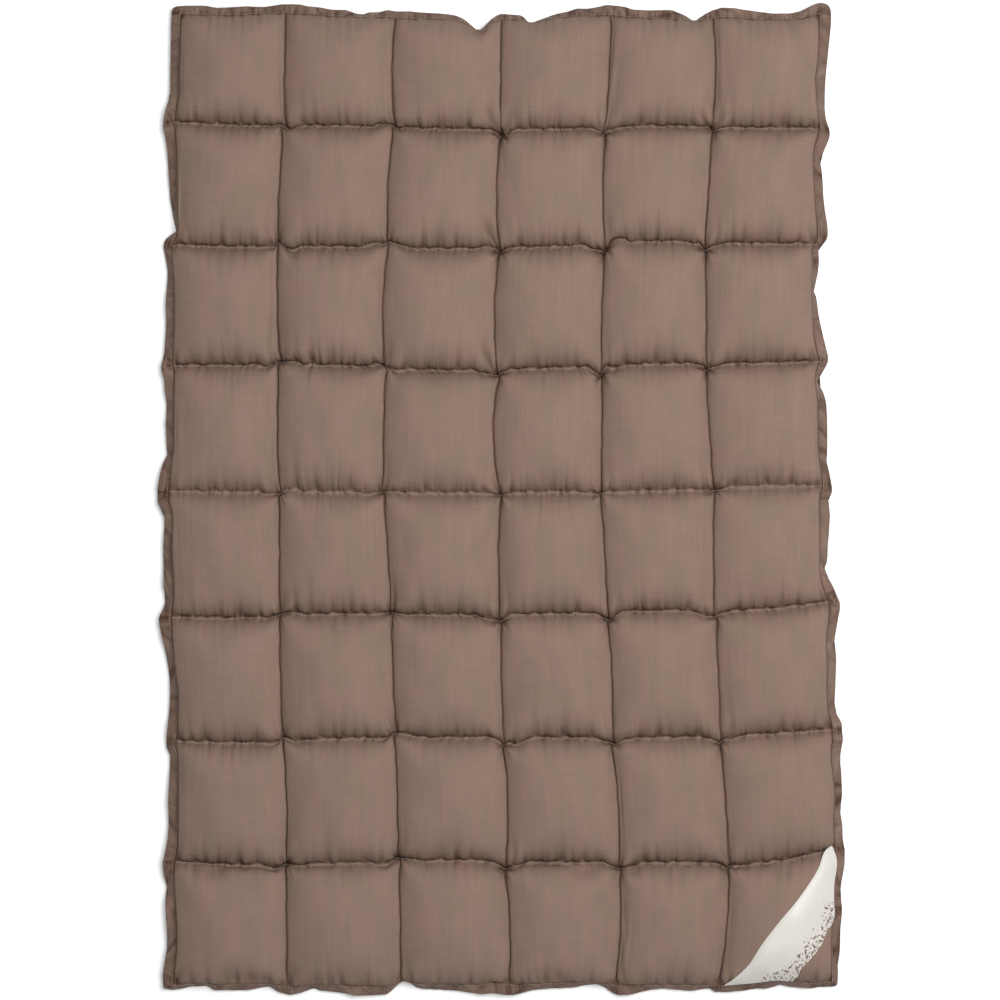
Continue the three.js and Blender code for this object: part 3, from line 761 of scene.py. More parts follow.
def settle(across, down, x, y, crown, ceiling, steps, pressure, fill, shear, bend, seed):
    """The filled cloth of one side above its seams: x, y, height in arrays."""
    pocket_c, pocket_r = across.pocket, down.pocket
    whole = np.ones_like(x, bool)
    u, v = across.share[:, None] * whole, down.share[None, :] * whole
    strip = down.strip[None, :] * whole
    long_lines = (across.share == 0) | (across.share == 1)
    crease_rows, groove_rows = row_kinds(down)
    on_long, on_crease = long_lines[:, None] & whole, crease_rows[None, :] & whole
    on_groove, in_strip = groove_rows[None, :] & whole, (strip > 0)
    held = on_long | on_groove | on_crease
    draw = np.random.default_rng(seed)

    # The seams are uneven: they rise between crossings, pucker, and are pulled in where they cross
    z = np.zeros_like(x)
    lift = np.sin(np.pi * np.clip(v, 0, 1)) ** 0.8 * LONG_SEAM_RISE
    z[on_long] = lift[on_long] - LONG_GROOVE
    z += np.where(held, 0, lift + 2.0 * np.sin(np.pi * u) * np.sin(np.pi * v))
    rows_c, rows_g = np.flatnonzero(crease_rows), np.flatnonzero(groove_rows)
    depth_at = pit_depths()
    for r, j in enumerate(rows_g):
        z[~long_lines, j] = -LOWER_GROOVE * SEAM_CREASE[r]
        z[:, j] += 0.3 * ripple(x[:, j], 9, SEEDS["groove heights"] + r)
        y[:, j] += 0.45 * ripple(x[:, j], 12, SEEDS["groove lines"] + r)
    for r, j in enumerate(rows_c):
        creased = crease_strength(x[:, j], r + 1)
        z[~long_lines, j] = -CREASE * creased[~long_lines]
        z[:, j] += 0.3 * ripple(x[:, j], 11, SEEDS["crease heights"] + r)
        y[:, j] += 0.75 * ripple(x[:, j], 14, SEEDS["crease lines"] + r)
    pits = np.zeros_like(x)
    for c, i in enumerate(np.flatnonzero(long_lines)):
        for r, j in enumerate(rows_g):
            near = ((x - x[i, j]) / PIT_LENGTH) ** 2 + ((y - y[i, j]) / PIT_LENGTH) ** 2
            pits += depth_at[c, r] * np.exp(-near)
    z -= pits * held
    z += draw.normal(0, 0.3, z.shape) * ~held

    # Walls: a pocket doesn't pass over its seams
    gap = 0.15
    seams_x = x[long_lines]
    left = seams_x[pocket_c] + gap
    right = seams_x[pocket_c + 1 - (pocket_c == COLUMNS)] - gap
    left[-1], right[-1] = seams_x[-1], seams_x[-1]
    upper, lower = y[:, groove_rows], np.concatenate([y[:, crease_rows], y[:, groove_rows][:, -1:]], 1)
    top = np.where(in_strip, lower[:, pocket_r], upper[:, pocket_r]) - gap
    bottom = np.where(in_strip, upper[:, pocket_r + 1], lower[:, pocket_r]) + gap

    fullness = 1 + 0.07 * draw.uniform(-1, 1, (COLUMNS, ROWS))
    full = fullness[pocket_c][:, pocket_r]
    lumps = 0.5 * ripple(x * 0.8 + 0.35 * y, 46, seed + 1) + 0.4 * ripple(y - 0.3 * x, 38, seed + 2)
    bead = BEAD_HEIGHT * np.sin(np.pi * strip) - CREASE * 0.5 * (1 - strip) - pits

    # Along the long seams the cloth isn't gathered
    from_seam = np.minimum(across.share, 1 - across.share) * CUT[0]
    ease = 1 - (1 - LONG_SEAM_EASE) * np.exp(-from_seam / LONG_SEAM_REACH)
    heights = (upper[:, :ROWS] - lower).mean(0)
    ease = ease[:, None] * ((heights / heights.mean()) ** 0.9)[None, pocket_r[:-1]]
    cloth = Cloth(np.stack([x, y, z]), held, across.cut_place(), down.cut_place(), ease, shear)
    left, right, bottom, top, bead, lumps, full = (
        part.astype(np.float32) for part in (left, right, bottom, top, bead, lumps, full))
    width, height = np.maximum(right - left, 1), np.maximum(top - bottom, 1)
    free = ~held
    for step in range(steps):
        if step % 3 == 0:
            up = normals_of(cloth.p)
        if step % 12 == 0:
            u, v = (cloth.p[0] - left) / width, (top - cloth.p[1]) / height
            lift = LONG_SEAM_RISE * rise(v, 2) ** 0.8
            target = lift + (crown * full - lift) * dome(u, v) + lumps * rise(u, 2) * rise(v, 2)
            target = np.where(in_strip, bead, target).astype(np.float32)
        ramp = min(1.0, step / 60)
        move = (cloth.p - cloth.old) * np.float32(0.9) + up * np.float32(pressure * ramp)
        move[2] += np.float32(fill * ramp) * np.clip(target - cloth.p[2], -2, 4)
        cloth.old = cloth.p.copy()
        cloth.p += move * cloth.free
        cloth.keep_lengths()
        cloth.smooth(bend)
        cloth.p[0] = np.where(free, np.clip(cloth.p[0], left, right), cloth.p[0])
        cloth.p[1] = np.where(free, np.clip(cloth.p[1], bottom, top), cloth.p[1])
        if ceiling is not None:
            cloth.p[2] = np.minimum(cloth.p[2], ceiling)
    return unfold(cloth.p.astype(float), held)


def make_side(across, down, face):
    """One side of the duvet with its hem, as points, painted shade and places in the cut cloth."""
    x, y, fall, out, painted_shade = plan(across, down)
    inner_a, inner_d = across.inner(), down.inner()
    keep = np.ix_(across.out == 0, down.out == 0)
    p = settle(inner_a, inner_d, x[keep].copy(), y[keep].copy(), **(FACE_FILLING if face else BACK_FILLING))
    if face:
        p, painted_shade[keep] = press_folds(p, inner_a, inner_d)
    sign = 1 if face else -1
    half = HEM_THICKNESS / 2 * np.sqrt(np.clip(1 - 0.85 * out ** 6, 0, 1))
    z = SEAM_LEVEL + fall + sign * half
    z[keep] = SEAM_LEVEL + sign * (p[2] + HEM_THICKNESS / 4)
    x[keep], y[keep] = p[0], p[1]
    cut = np.stack([across.cut_place()[:, None] + 0 * x, -down.cut_place()[None, :] + 0 * x], -1)
    if not face:
        cut[..., 0] += 2 * COLUMNS * CUT[0]
    return np.stack([x, y, np.maximum(z, FACE_LEAST if face else 0)], -1), painted_shade, cut


def under(points, face):
    """Lets the back of the duvet pass below the creases and pits of the face."""
    size = int(-face[..., :2].min()) + 8
    lowest = np.full((2 * size, 2 * size), np.inf)
    np.minimum.at(lowest, tuple(np.rint(face[..., axis] + size).astype(int) for axis in (0, 1)),
                  face[..., 2])
    for axis in (0, 1):
        lowest = np.min([np.roll(lowest, step, axis) for step in (-2, -1, 0, 1, 2)], axis=0)
    column, row = (np.rint(points[..., axis] + size).astype(int) for axis in (0, 1))
    points[..., 2] = np.clip(lowest[column, row] - COVER_GAP, 0, points[..., 2])


def grid_faces(n, m, start, flip):
    i, j = np.meshgrid(np.arange(n - 1), np.arange(m - 1), indexing="ij")
    a = (start + i * m + j).ravel()
    quads = np.stack([a, a + 1, a + m + 1, a + m], 1)
    return quads[:, ::-1] if flip else quads


def rim(n, m, start):
    """Indices round the outer edge of a grid, in order."""
    ring = [(i, 0) for i in range(n)] + [(n - 1, j) for j in range(1, m)]
    ring += [(i, m - 1) for i in range(n - 2, -1, -1)] + [(0, j) for j in range(m - 2, 0, -1)]
    return [start + i * m + j for i, j in ring]


def join_rims(upper, lower):
    """Faces between a rim and one with half as many points."""
    faces = []
    for k, low in enumerate(lower):
        next_low = lower[(k + 1) % len(lower)]
        a, b, c = (upper[(2 * k + step) % len(upper)] for step in range(3))
        faces += [(a, low, b), (b, low, next_low), (b, next_low, c)]
    return faces


def new_piece(name, points, faces, flat):
    """A smooth mesh with a UV map called cut, in metres of flat cloth."""
    mesh = bpy.data.meshes.new(name)
    mesh.from_pydata((np.asarray(points) * MM).tolist(), [], faces)
    mesh.polygons.foreach_set("use_smooth", [True] * len(mesh.polygons))
    corners = np.empty(len(mesh.loops), int)
    mesh.loops.foreach_get("vertex_index", corners)
    layer = mesh.uv_layers.new(name="cut")
    layer.data.foreach_set("uv", (np.asarray(flat)[corners] * MM).ravel())
    mesh.update()
    piece = bpy.data.objects.new(name, mesh)
    bpy.context.scene.collection.objects.link(piece)
    return piece


def make_duvet():
    across, down = make_lines()
    face, face_painted_shade, face_cut = make_side(across, down, True)
    back, back_painted_shade, back_cut = make_side(across.every_second(), down.every_second(), False)
    under(back[HEM_CELLS // 2:-HEM_CELLS // 2, HEM_CELLS // 2:-HEM_CELLS // 2], face)
    n, m = face.shape[:2]
    p, q = back.shape[:2]
    points = np.concatenate([face.reshape(-1, 3), back.reshape(-1, 3)])
    cut = np.concatenate([face_cut.reshape(-1, 2), back_cut.reshape(-1, 2)])
    faces = np.concatenate([grid_faces(n, m, 0, False), grid_faces(p, q, n * m, True)]).tolist()
    faces += join_rims(rim(n, m, 0), rim(p, q, n * m))
    cover = new_piece("duvet_cover", points, faces, cut)
    # The painted shade goes on the mesh as an attribute that the cloth's material reads
    painted_shade = cover.data.attributes.new("painted_shade", "FLOAT", "POINT")
    painted_shade.data.foreach_set("value", np.concatenate([face_painted_shade.ravel(), back_painted_shade.ravel()]))
    return cover, face, across, down


# The corner band: a ribbon sewn into the two edge seams of the lower right corner, as its
# four outlines. The upper and lower edges run from the side edge down to the bottom edge.
BAND_UPPER = [(320, -335), (315, -338), (306, -356), (287, -383), (266, -408), (251, -428),
              (238, -449), (228, -460), (215, -471)]
BAND_LOWER = [(322, -409), (316, -415), (308, -431), (299, -442), (289, -453), (284, -465),
              (281, -467)]
BAND_SIDE_END = [(320, -335), (324, -345), (322, -377), (322, -391), (323, -400), (322, -409)]
BAND_BOTTOM_END = [(215, -471), (248, -468), (264, -466), (270, -466), (281, -467)]
BAND_CELLS = (120, 48)
BAND_THICKNESS = 1.2
BAND_CLEARANCE = 0.5
BAND_PUFF = 1.6
BAND_SAGS = 900  # steps in which it is drawn smooth between what it lies on
BAND_FLAT = (182.0, 76.0)
BAND_ORIGIN = (300.0, -441.0)  # the middle of its lower edge, and which way that edge runs
BAND_AXIS = (-0.6, -0.8)


def along_line(points, shares):
    """Points at these shares of the length of a line through the given points, softened."""
    points = np.array(points, float)
    lengths = np.concatenate([[0], np.cumsum(np.hypot(*np.diff(points, axis=0).T))])
    places = shares * lengths[-1]
    return np.stack([smooth_line(lengths, points[:, k], places) for k in (0, 1)], -1)


def make_band(cover):
    """The corner band, lying over the pockets from one edge seam to the other."""
    n, m = BAND_CELLS
    t, s = np.linspace(0, 1, n + 1), np.linspace(0, 1, m + 1)
    upper, lower = along_line(BAND_UPPER, t), along_line(BAND_LOWER, t)
    side, bottom = along_line(BAND_SIDE_END, s), along_line(BAND_BOTTOM_END, s)
    t, s = t[:, None, None], s[None, :, None]
    flat = (upper[:, None] * (1 - s) + lower[:, None] * s + side[None] * (1 - t) + bottom[None] * t
            - upper[0] * (1 - t) * (1 - s) - lower[0] * (1 - t) * s
            - upper[-1] * t * (1 - s) - lower[-1] * t * s)
    x, y = flat[..., 0], flat[..., 1]
    t, s = t[..., 0], s[..., 0]

    # The band is pulled over the pockets like a skin and hangs free over the seams between them
    tree = BVHTree.FromObject(cover, bpy.context.evaluated_depsgraph_get())
    down = Vector((0, 0, -1))
    under = np.array([
        [(tree.ray_cast(Vector((a * MM, b * MM, 0.2)), down)[0] or Vector()).z / MM
         for a, b in zip(xs, ys)] for xs, ys in zip(x, y)
    ])
    under += BAND_CLEARANCE
    z = under.copy()
    for _ in range(BAND_SAGS):
        z[1:-1] = 0.38 * (z[:-2] + z[2:]) + 0.24 * z[1:-1]
        z[:, 1:-1] = 0.9 * z[:, 1:-1] + 0.05 * (z[:, :-2] + z[:, 2:])
        z = np.maximum(z, under)
    edge = np.clip(1 - np.abs(2 * s - 1) ** 10, 0, 1) ** 0.5
    ends = np.clip(np.minimum(t, 1 - t) / 0.05, 0, 1) ** 0.7
    puff = BAND_PUFF * (1 - np.abs(2 * s - 1) ** 3) * ends
    thickness = (BAND_THICKNESS * edge + puff) * (0.35 + 0.65 * ends)
    top = z + np.maximum(thickness, 0.05)

    count = (n + 1) * (m + 1)
    points = np.concatenate([
        np.stack([x, y, top], -1).reshape(-1, 3), np.stack([x, y, z], -1).reshape(-1, 3)])
    faces = np.concatenate([grid_faces(n + 1, m + 1, 0, True),
                            grid_faces(n + 1, m + 1, count, False)]).tolist()
    ring = rim(n + 1, m + 1, 0)
    for a, b in zip(ring, ring[1:] + ring[:1]):
        faces.append((a, b, b + count, a + count))
    from_x, from_y = x - BAND_ORIGIN[0], y - BAND_ORIGIN[1]
    along = from_x * BAND_AXIS[0] + from_y * BAND_AXIS[1]
    below = from_y * BAND_AXIS[0] - from_x * BAND_AXIS[1]
    flat = np.stack([along, below], -1).reshape(-1, 2)
    return new_piece("corner_ribbon", points, faces,
                     np.concatenate([flat, flat + (2 * BAND_FLAT[0], 0)]))


class Value:
    """A number in a material's graph: sums with it add Math nodes."""

    def __init__(self, graph, socket):
        self.graph, self.socket = graph, socket

    def math(self, operation, *others):
        return self.graph.add("Math", {"operation": operation}, dict(enumerate([self, *others])))

    def swapped(self, operation, other):
        return self.graph.add("Math", {"operation": operation}, {0: other, 1: self})

    def __add__(self, other):
        return self.math("ADD", other)

    __radd__ = __add__

    def __mul__(self, other):
        return self.math("MULTIPLY", other)

    __rmul__ = __mul__

    def __sub__(self, other):
        return self.math("SUBTRACT", other)

    def __rsub__(self, other):
        return self.swapped("SUBTRACT", other)

    def __truediv__(self, other):
        return self.math("DIVIDE", other)

    def __rtruediv__(self, other):
        return self.swapped("DIVIDE", other)

    def at_least(self, low):
        return self.math("MAXIMUM", low)

    def share(self, low=0.0):
        """This value kept between a lowest one and 1."""
        return self.at_least(low).math("MINIMUM", 1.0)

    def node(self, kind, output):
        """A node of this kind fed by another output of this value's own node."""
        return self.graph.add(kind, {}, {0: Value(self.graph, self.socket.node.outputs[output])})

    def out(self, name):
        return Value(self.graph, self.socket.node.outputs[name])


class Graph:
    """The nodes of one material."""

    def __init__(self, name):
        self.material = bpy.data.materials.new(name)
        self.material.use_nodes = True
        self.tree = self.material.node_tree
        self.shader = self.tree.nodes["Principled BSDF"]

    def put(self, socket, value):
        if isinstance(value, Value):
            self.tree.links.new(value.socket, socket)
        else:
            socket.default_value = value

    def add(self, kind, settings, values, output=0):
        node = self.tree.nodes.new("ShaderNode" + kind)
        for name, value in settings.items():
            setattr(node, name, value)
        for name, value in values.items():
            self.put(node.inputs[name], value)
        return Value(self, node.outputs[output])

    def vector(self, x, y):
        return self.add("CombineXYZ", {}, {"X": x, "Y": y})

    def noise(self, vector, scale, detail=2.0):
        return self.add("TexNoise", {"noise_dimensions": "2D"},
                        {"Vector": vector, "Scale": scale, "Detail": detail})

    def mix(self, share, first, second):
        """The second colour where the share is 1."""
        return self.add("Mix", {"data_type": "RGBA"}, {"Factor": share, 6: first, 7: second}, 2)

    def flat_place(self):
        """Where a point lies on the flat cloth, in metres."""
        place = self.add("SeparateXYZ", {}, {0: self.add("UVMap", {"uv_map": "cut"}, {})})
        return place.out("X"), place.out("Y")

    def scaled(self, colour, amount):
        return self.add("VectorMath", {"operation": "SCALE"}, {0: colour, "Scale": amount})

    def finish(self, colour, roughness, bump, **constants):
        for name, value in {"Base Color": colour, "Roughness": roughness, **constants}.items():
            self.put(self.shader.inputs[name], value)
        height = self.add("Bump", {}, {"Height": bump, "Distance": MM, "Strength": 1.0})
        self.put(self.shader.inputs["Normal"], height)
        return self.material


PINK = (0.236, 0.151, 0.1195, 1)
OLIVE = (0.214, 0.150, 0.1125, 1)
# The colour that painted shade darkens the cloth towards, and the most share of it
PAINTED_SHADE_COLOUR = (0.056, 0.022, 0.010, 1)
MOST_PAINTED_SHADE = 0.9
HUE_CONTRAST = 2.8

# How much each unevenness of the cloth changes its lightness
UNEVEN_LIGHT = {"threads": 0.15, "weft": 0.12, "weave": 0.06, "streaks": 0.03, "patches": 0.08}
# The puckers near the cross seams: how far they reach, how high they bump, and how much shade is painted
# into their valleys
PUCKER_UP = {"reach": 0.009, "bump": 2.4, "dark": 3.2}
PUCKER_DOWN = {"reach": 0.006, "bump": 1.2, "dark": 1.5}
# How much the painted shade counts from the mesh's attribute, the pucker valleys and the hem's folds
PAINTED_SHADE_SHARES = {"painted_shade": 0.85, "painted_pucker_shade": 0.6, "creased": 0.42}


def make_cloth_material():
    """Fine cotton in two colours that change in patches, with a little sheen, streaked along its threads
    and with shade painted into its creases.
    """
    graph = Graph("duvet_cloth")
    u, v = graph.flat_place()
    yarn = {
        "patches": graph.noise(graph.vector(u, v * 0.5), 45.0),
        "streaks": graph.noise(graph.vector(u, v * 0.15), 110.0),
        "threads": graph.noise(graph.vector(u, v * 0.03), 520.0, 1.0),
        "weft": graph.noise(graph.vector(u * 0.05, v), 620.0, 1.0),
        "weave": graph.noise(graph.vector(u, v * 0.6), 1500.0, 0.0),
    }
    hue = (yarn["patches"] * 0.72 + yarn["streaks"] * 0.28 - 0.5) * HUE_CONTRAST + 0.5
    light = 1.0
    for name, amount in UNEVEN_LIGHT.items():
        light = light + (yarn[name] - 0.5) * amount
    cloth = graph.scaled(graph.mix(hue.share(), OLIVE, PINK), light)

    # Small puckers that run up and down from the cross seams, as bumps, with shade painted into their
    # valleys
    pocket, bead = CUT[1] * MM, BEAD * MM
    below = (0.0 - v).math("FLOORED_MODULO", pocket)
    above = (pocket - bead - below).at_least(0.0)
    small = graph.noise(graph.vector(u, v * 0.12), 210.0, 1.0)
    fade_up = (above * (-1 / PUCKER_UP["reach"])).math("EXPONENT")
    fade_down = (below * (-1 / PUCKER_DOWN["reach"])).math("EXPONENT")
    puckers = (small - 0.5) * (fade_up * PUCKER_UP["bump"] + fade_down * PUCKER_DOWN["bump"])
    from_end = ((v + (ROWS - 0.4) * pocket) / 0.02).share(0.15)
    painted_pucker_shade = (0.53 - small) * from_end * (fade_up * PUCKER_UP["dark"] + fade_down * PUCKER_DOWN["dark"])

    # Slanted folds across the hem, as bumps, with shade painted into their creases
    beside = (0.0 - u).math("MAXIMUM", u - COLUMNS * CUT[0] * MM)
    beyond = v.math("MAXIMUM", 0.0 - v - (ROWS * CUT[1] * MM))
    hem = (beside.math("MAXIMUM", beyond) / 0.0012).share()
    on_side = beside.math("GREATER_THAN", beyond)
    slant = (graph.noise(graph.vector(u, v), 22.0, 0.0) - 0.5) * 5.0
    side_folds = graph.noise(graph.vector(u * 0.2, v + beside * slant), 70.0)
    end_folds = graph.noise(graph.vector(u + beyond * slant, v * 0.2), 70.0)
    folds = end_folds + (side_folds - end_folds) * on_side
    creased = ((folds - 0.55) * 6.0).share() * hem

    # Painted shade: from the mesh's attribute, in the pucker valleys and in the hem's folds, mixed towards
    # a dark colour
    painted_shade = graph.add("Attribute", {"attribute_name": "painted_shade"}, {}, "Fac")
    dark = (painted_shade * PAINTED_SHADE_SHARES["painted_shade"] + painted_pucker_shade.at_least(0.0) * PAINTED_SHADE_SHARES["painted_pucker_shade"]
            + creased * PAINTED_SHADE_SHARES["creased"])
    return graph.finish(
        graph.mix(dark.math("MINIMUM", MOST_PAINTED_SHADE), cloth, PAINTED_SHADE_COLOUR),
        0.80 + (yarn["threads"] - 0.5) * 0.12,
        puckers - (folds - 0.5) * hem * 4.0 + (yarn["weave"] - 0.5) * 0.10 + (yarn["threads"] - 0.5) * 0.10,
        **{"Specular IOR Level": 0.25, "Sheen Weight": 0.03, "Sheen Roughness": 0.5})


IVORY = (0.64, 0.615, 0.565, 1)
LEAF_BROWN = (0.125, 0.070, 0.046, 1)
LEAF_PALE = (0.250, 0.165, 0.120, 1)
THREAD_COLOUR = (0.35, 0.265, 0.215, 1)
PRINT_SHARE = 0.93

# The printed scatters, in metres: how far apart, half length and half width, and where each starts
SCATTERS = {"leaves": (0.0062, 0.0028, 0.0010, 0.0), "sprigs": (0.0041, 0.0014, 0.00055, 3.0),
            "dots": (0.0030, 0.0005, 0.0005, 7.0)}
LEAF_SOFTNESS = 0.00012
FULL_TURN = 6.283
PRINT_DEPTH = 0.0185  # how far from the band's lower edge the print reaches, and where it thins out
PRINT_FADE = 0.013

# Where the print's upper limit bends: a place along the band, which side of it, and the slope there
PRINT_BENDS = [(-0.038, -1, -0.75), (0.032, 1, -1.4), (-0.048, -1, 1.5), (0.040, 1, 1.5)]


def scatter(graph, u, v, spacing, half_length, half_width, seed):
    """How much of each point a scatter of small leaves covers, thinning out from the lower edge."""
    place = graph.vector(u + seed, v)
    cells = graph.add("TexVoronoi", {"voronoi_dimensions": "2D"},
                      {"Vector": place, "Scale": 1 / spacing, "Randomness": 0.85})
    centre, chance = cells.node("SeparateXYZ", "Position"), cells.node("SeparateColor", "Color")
    centre_u, centre_v = centre.out("X") - seed, centre.out("Y")
    turn = chance.out("Red") * FULL_TURN
    cosine, sine = turn.math("COSINE"), turn.math("SINE")
    across, down = u - centre_u, v - centre_v
    along = (across * cosine + down * sine) / half_length
    aside = (down * cosine - across * sine).math("ABSOLUTE")
    width = (1.0 - along * along) * half_width
    leaf = ((width - aside) / LEAF_SOFTNESS + 0.5).share()
    inside = 0.0 - centre_v
    for bend, side, slope in PRINT_BENDS:
        past = centre_u - bend if side > 0 else bend - centre_u
        inside = inside + past.at_least(0.0) * slope
    likely = (PRINT_DEPTH - inside) / PRINT_FADE
    return leaf * chance.out("Green").math("LESS_THAN", likely), chance.out("Blue")


def make_satin_material():
    """Smooth ivory satin with a scatter of small leaves and dots along its lower edge."""
    graph = Graph("band_satin")
    u, v = graph.flat_place()
    leaves, tone = scatter(graph, u, v, *SCATTERS["leaves"])
    sprigs, _ = scatter(graph, u, v, *SCATTERS["sprigs"])
    dots, _ = scatter(graph, u, v, *SCATTERS["dots"])
    print_share = leaves.math("MAXIMUM", sprigs).math("MAXIMUM", dots * 0.8) * PRINT_SHARE
    brown = graph.mix(tone, LEAF_BROWN, LEAF_PALE)
    weave = graph.noise(graph.vector(u * 0.3, v), 900.0, 1.0)
    shade = 1.0 + (graph.noise(graph.vector(u, v), 60.0, 1.0) - 0.5) * 0.06
    satin = graph.scaled(IVORY[:3], shade)
    return graph.finish(
        graph.mix(print_share, satin, brown), 0.42 + (weave - 0.5) * 0.1 + print_share * 0.1,
        (weave - 0.5) * 0.05, **{"Sheen Weight": 0.05})


def make_thread_material():
    """Sewing cotton, a little lighter than the cloth, with a fine twist."""
    graph = Graph("sewing_thread")
    twist = graph.noise(graph.add("TexCoord", {}, {}, "Object"), 4000.0, 0.0)
    return graph.finish(THREAD_COLOUR, 0.55 + (twist - 0.5) * 0.2, (twist - 0.5) * 0.05)


# Stitches: long beads of thread
STITCH_PITCH = 2.4
STITCH_LENGTH = 1.5
THREAD = 0.9
STITCH_SIZES = (0.8, 1.12)  # the least and the greatest, of that size
STITCH_SEED = 4
STITCH_BALL = {"Segments": 6, "Rings": 4, "Radius": 0.5}
BEAD_STITCH_RISE = 0.3
HEM_STITCH_RISE = 0.1


def make_stitches(paths):
    """Threads along the given paths, set out by geometry nodes."""
    points, edges = [], []
    for path in paths:
        start = len(points)
        points += [tuple(point * MM) for point in path]
        edges += [(start + k, start + k + 1) for k in range(len(path) - 1)]
    mesh = bpy.data.meshes.new("stitch_paths")
    mesh.from_pydata(points, edges, [])
    source = bpy.data.objects.new("stitch_paths", mesh)
    bpy.context.scene.collection.objects.link(source)

    tree = bpy.data.node_groups.new("stitches", "GeometryNodeTree")
    tree.interface.new_socket("Geometry", in_out="INPUT", socket_type="NodeSocketGeometry")
    tree.interface.new_socket("Geometry", in_out="OUTPUT", socket_type="NodeSocketGeometry")
    sockets = {}
    for name in ("Pitch", "Length", "Thread"):
        sockets[name] = tree.interface.new_socket(name, in_out="INPUT", socket_type="NodeSocketFloat")
    sockets["Cotton"] = tree.interface.new_socket("Cotton", in_out="INPUT",
                                                  socket_type="NodeSocketMaterial")

    def add(kind, **settings):
        node = tree.nodes.new(kind)
        for name, value in settings.items():
            setattr(node, name, value)
        return node

    def join(source_node, output, target_node, target):
        tree.links.new(source_node.outputs[output], target_node.inputs[target])

    start = add("NodeGroupInput")
    end = add("NodeGroupOutput")
    curve = add("GeometryNodeMeshToCurve")
    spaced = add("GeometryNodeResampleCurve", mode="LENGTH")
    ball = add("GeometryNodeMeshUVSphere")
    for name, value in STITCH_BALL.items():
        ball.inputs[name].default_value = value
    size = add("ShaderNodeCombineXYZ")
    shaped = add("GeometryNodeTransform")
    tangent = add("GeometryNodeInputTangent")
    turned = add("FunctionNodeAlignRotationToVector", axis="X")
    placed = add("GeometryNodeInstanceOnPoints")
    uneven_size = add("FunctionNodeRandomValue", data_type="FLOAT")
    uneven_size.inputs["Seed"].default_value = STITCH_SEED
    low, high = [socket for socket in uneven_size.inputs if socket.type == "VALUE"][:2]
    low.default_value, high.default_value = STITCH_SIZES
    real = add("GeometryNodeRealizeInstances")
    painted = add("GeometryNodeSetMaterial")

    join(start, "Geometry", curve, "Mesh")
    join(curve, "Curve", spaced, "Curve")
    join(start, "Pitch", spaced, "Length")
    join(start, "Length", size, "X")
    join(start, "Thread", size, "Y")
    join(start, "Thread", size, "Z")
    join(ball, "Mesh", shaped, "Geometry")
    join(size, 0, shaped, "Scale")
    join(spaced, "Curve", placed, "Points")
    join(shaped, "Geometry", placed, "Instance")
    join(tangent, "Tangent", turned, "Vector")
    join(turned, "Rotation", placed, "Rotation")
    tree.links.new(next(socket for socket in uneven_size.outputs if socket.type == "VALUE"),
                   placed.inputs["Scale"])
    join(placed, "Instances", real, "Geometry")
    join(real, "Geometry", painted, "Geometry")
    join(start, "Cotton", painted, "Material")
    join(painted, "Geometry", end, "Geometry")

    modifier = source.modifiers.new("stitches", "NODES")
    modifier.node_group = tree
    modifier[sockets["Pitch"].identifier] = STITCH_PITCH * MM
    modifier[sockets["Length"].identifier] = STITCH_LENGTH * MM
    modifier[sockets["Thread"].identifier] = THREAD * MM
    modifier[sockets["Cotton"].identifier] = make_thread_material()
    made = bpy.data.meshes.new_from_object(source.evaluated_get(bpy.context.evaluated_depsgraph_get()))
    made.name = "seam_stitches"
    stitches = bpy.data.objects.new("seam_stitches", made)
    bpy.context.scene.collection.objects.link(stitches)
    bpy.data.objects.remove(source)
    made.polygons.foreach_set("use_smooth", [True] * len(made.polygons))
    return stitches


def stitch_paths(face, across, down):
    """Where the stitches run: along the bead of each cross seam and just outside the edge seams."""
    columns, rows = np.flatnonzero(across.out == 0), np.flatnonzero(down.out == 0)
    left, right, top, bottom = columns[0], columns[-1], rows[0], rows[-1]
    paths = []
    for r in range(ROWS - 1):
        bead = np.flatnonzero((down.pocket == r) & (down.strip > 0))[1]
        paths.append(face[left:right + 1, bead] + (0, 0, BEAD_STITCH_RISE))
    for edge in (face[left - 1, top - 1:bottom + 2], face[right + 1, top - 1:bottom + 2],
                 face[left - 1:right + 2, top - 1], face[left - 1:right + 2, bottom + 1]):
        paths.append(edge + (0, 0, HEM_STITCH_RISE))
    return paths


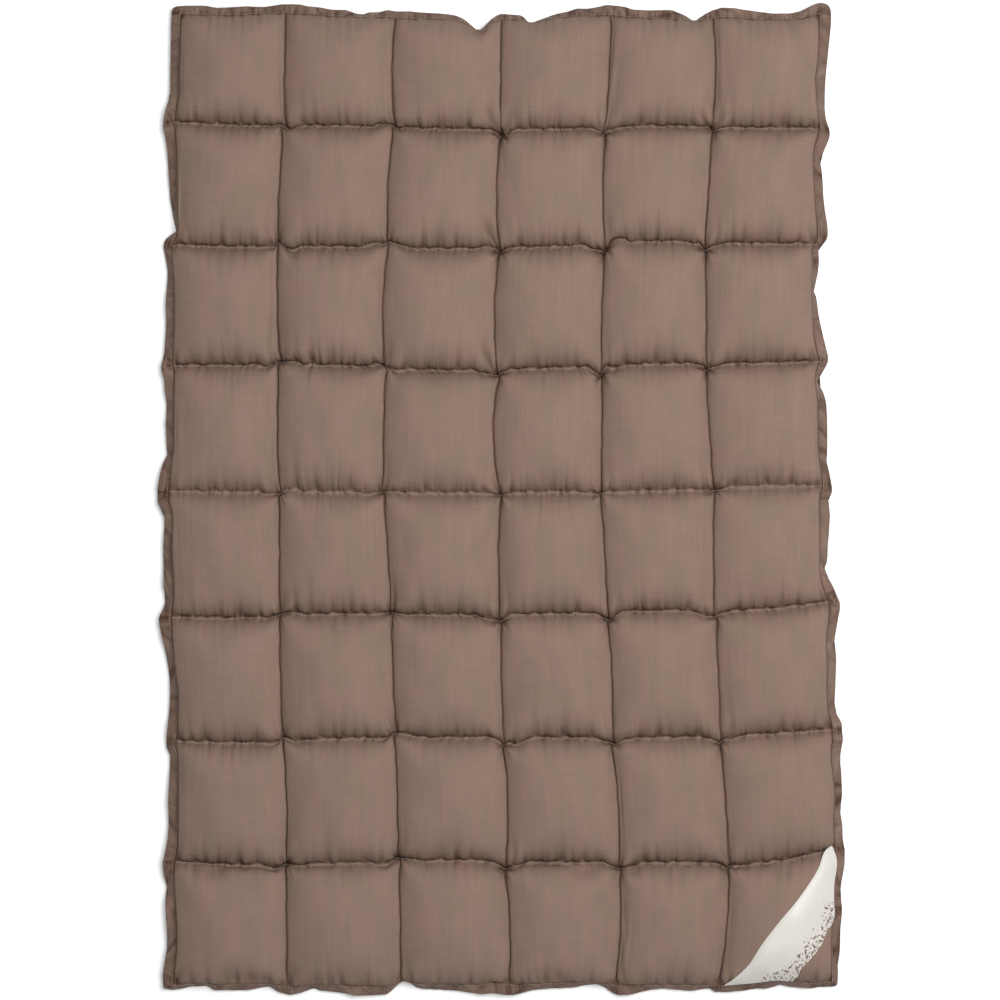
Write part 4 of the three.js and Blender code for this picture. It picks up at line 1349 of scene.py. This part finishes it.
# The setting, in metres
CAMERA_AT = (-0.0015, -0.0005, 3.4)
SENSOR = 36
FRAME_WIDTH = 0.970
FRAME_HEIGHT = 0.008  # where the frame takes in that width, near the level of the seams
LAMP_SIZE = 1.6
LAMP_POWER = 49.5
LAMP_TOWARDS = (0.30, 0.17, 1)
LAMP_DISTANCE = 2.2  # near enough that the far corner of the duvet is a little darker
ROOM_LIGHT = 0.35
FLOOR_REACH = 4.0
FLOOR_BELOW = 0.0005
FLOOR_COLOUR = (0.92, 0.92, 0.92, 1)
FLOOR_GLOW = 0.16  # keeps the floor white in the corner far from the lamp
WHITE = (1, 1, 1, 1)


def make_setting():
    """The camera straight above, one wide soft lamp, a pale room and a pale floor."""
    scene = bpy.context.scene
    scene.view_settings.view_transform = "Standard"
    camera = bpy.data.cameras.new("camera")
    camera.sensor_width = SENSOR
    camera.lens = SENSOR * (CAMERA_AT[2] - FRAME_HEIGHT) / FRAME_WIDTH
    seen_from = bpy.data.objects.new("camera", camera)
    seen_from.location = CAMERA_AT
    scene.collection.objects.link(seen_from)
    scene.camera = seen_from

    light = bpy.data.lights.new("key", "AREA")
    light.shape = "DISK"
    light.size = LAMP_SIZE
    light.energy = LAMP_POWER
    key = bpy.data.objects.new("key", light)
    towards = Vector(LAMP_TOWARDS).normalized()
    key.location = towards * LAMP_DISTANCE
    key.rotation_euler = towards.to_track_quat("Z", "Y").to_euler()
    key.visible_camera = False
    scene.collection.objects.link(key)
    world = bpy.data.worlds.new("room")
    world.use_nodes = True
    world.node_tree.nodes["Background"].inputs["Strength"].default_value = ROOM_LIGHT
    world.node_tree.nodes["Background"].inputs["Color"].default_value = WHITE
    scene.world = world

    far = FLOOR_REACH
    corners = [(-far, -far, 0), (far, -far, 0), (far, far, 0), (-far, far, 0)]
    floor_mesh = bpy.data.meshes.new("floor")
    floor_mesh.from_pydata(corners, [], [(0, 1, 2, 3)])
    floor = bpy.data.objects.new("floor", floor_mesh)
    paint = bpy.data.materials.new("pale_floor")
    paint.use_nodes = True
    surface = paint.node_tree.nodes["Principled BSDF"].inputs
    surface["Base Color"].default_value = FLOOR_COLOUR
    surface["Emission Color"].default_value = WHITE
    surface["Emission Strength"].default_value = FLOOR_GLOW
    floor_mesh.materials.append(paint)
    floor.location.z = -FLOOR_BELOW
    scene.collection.objects.link(floor)


cover, face, across, down = make_duvet()
cover.data.materials.append(make_cloth_material())
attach(cover, "root")
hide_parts("duvet")

stitches = make_stitches(stitch_paths(face, across, down))
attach(stitches, "root")

band = make_band(cover)
band.data.materials.append(make_satin_material())
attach(band, "root")
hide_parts("corner_band")

make_setting()
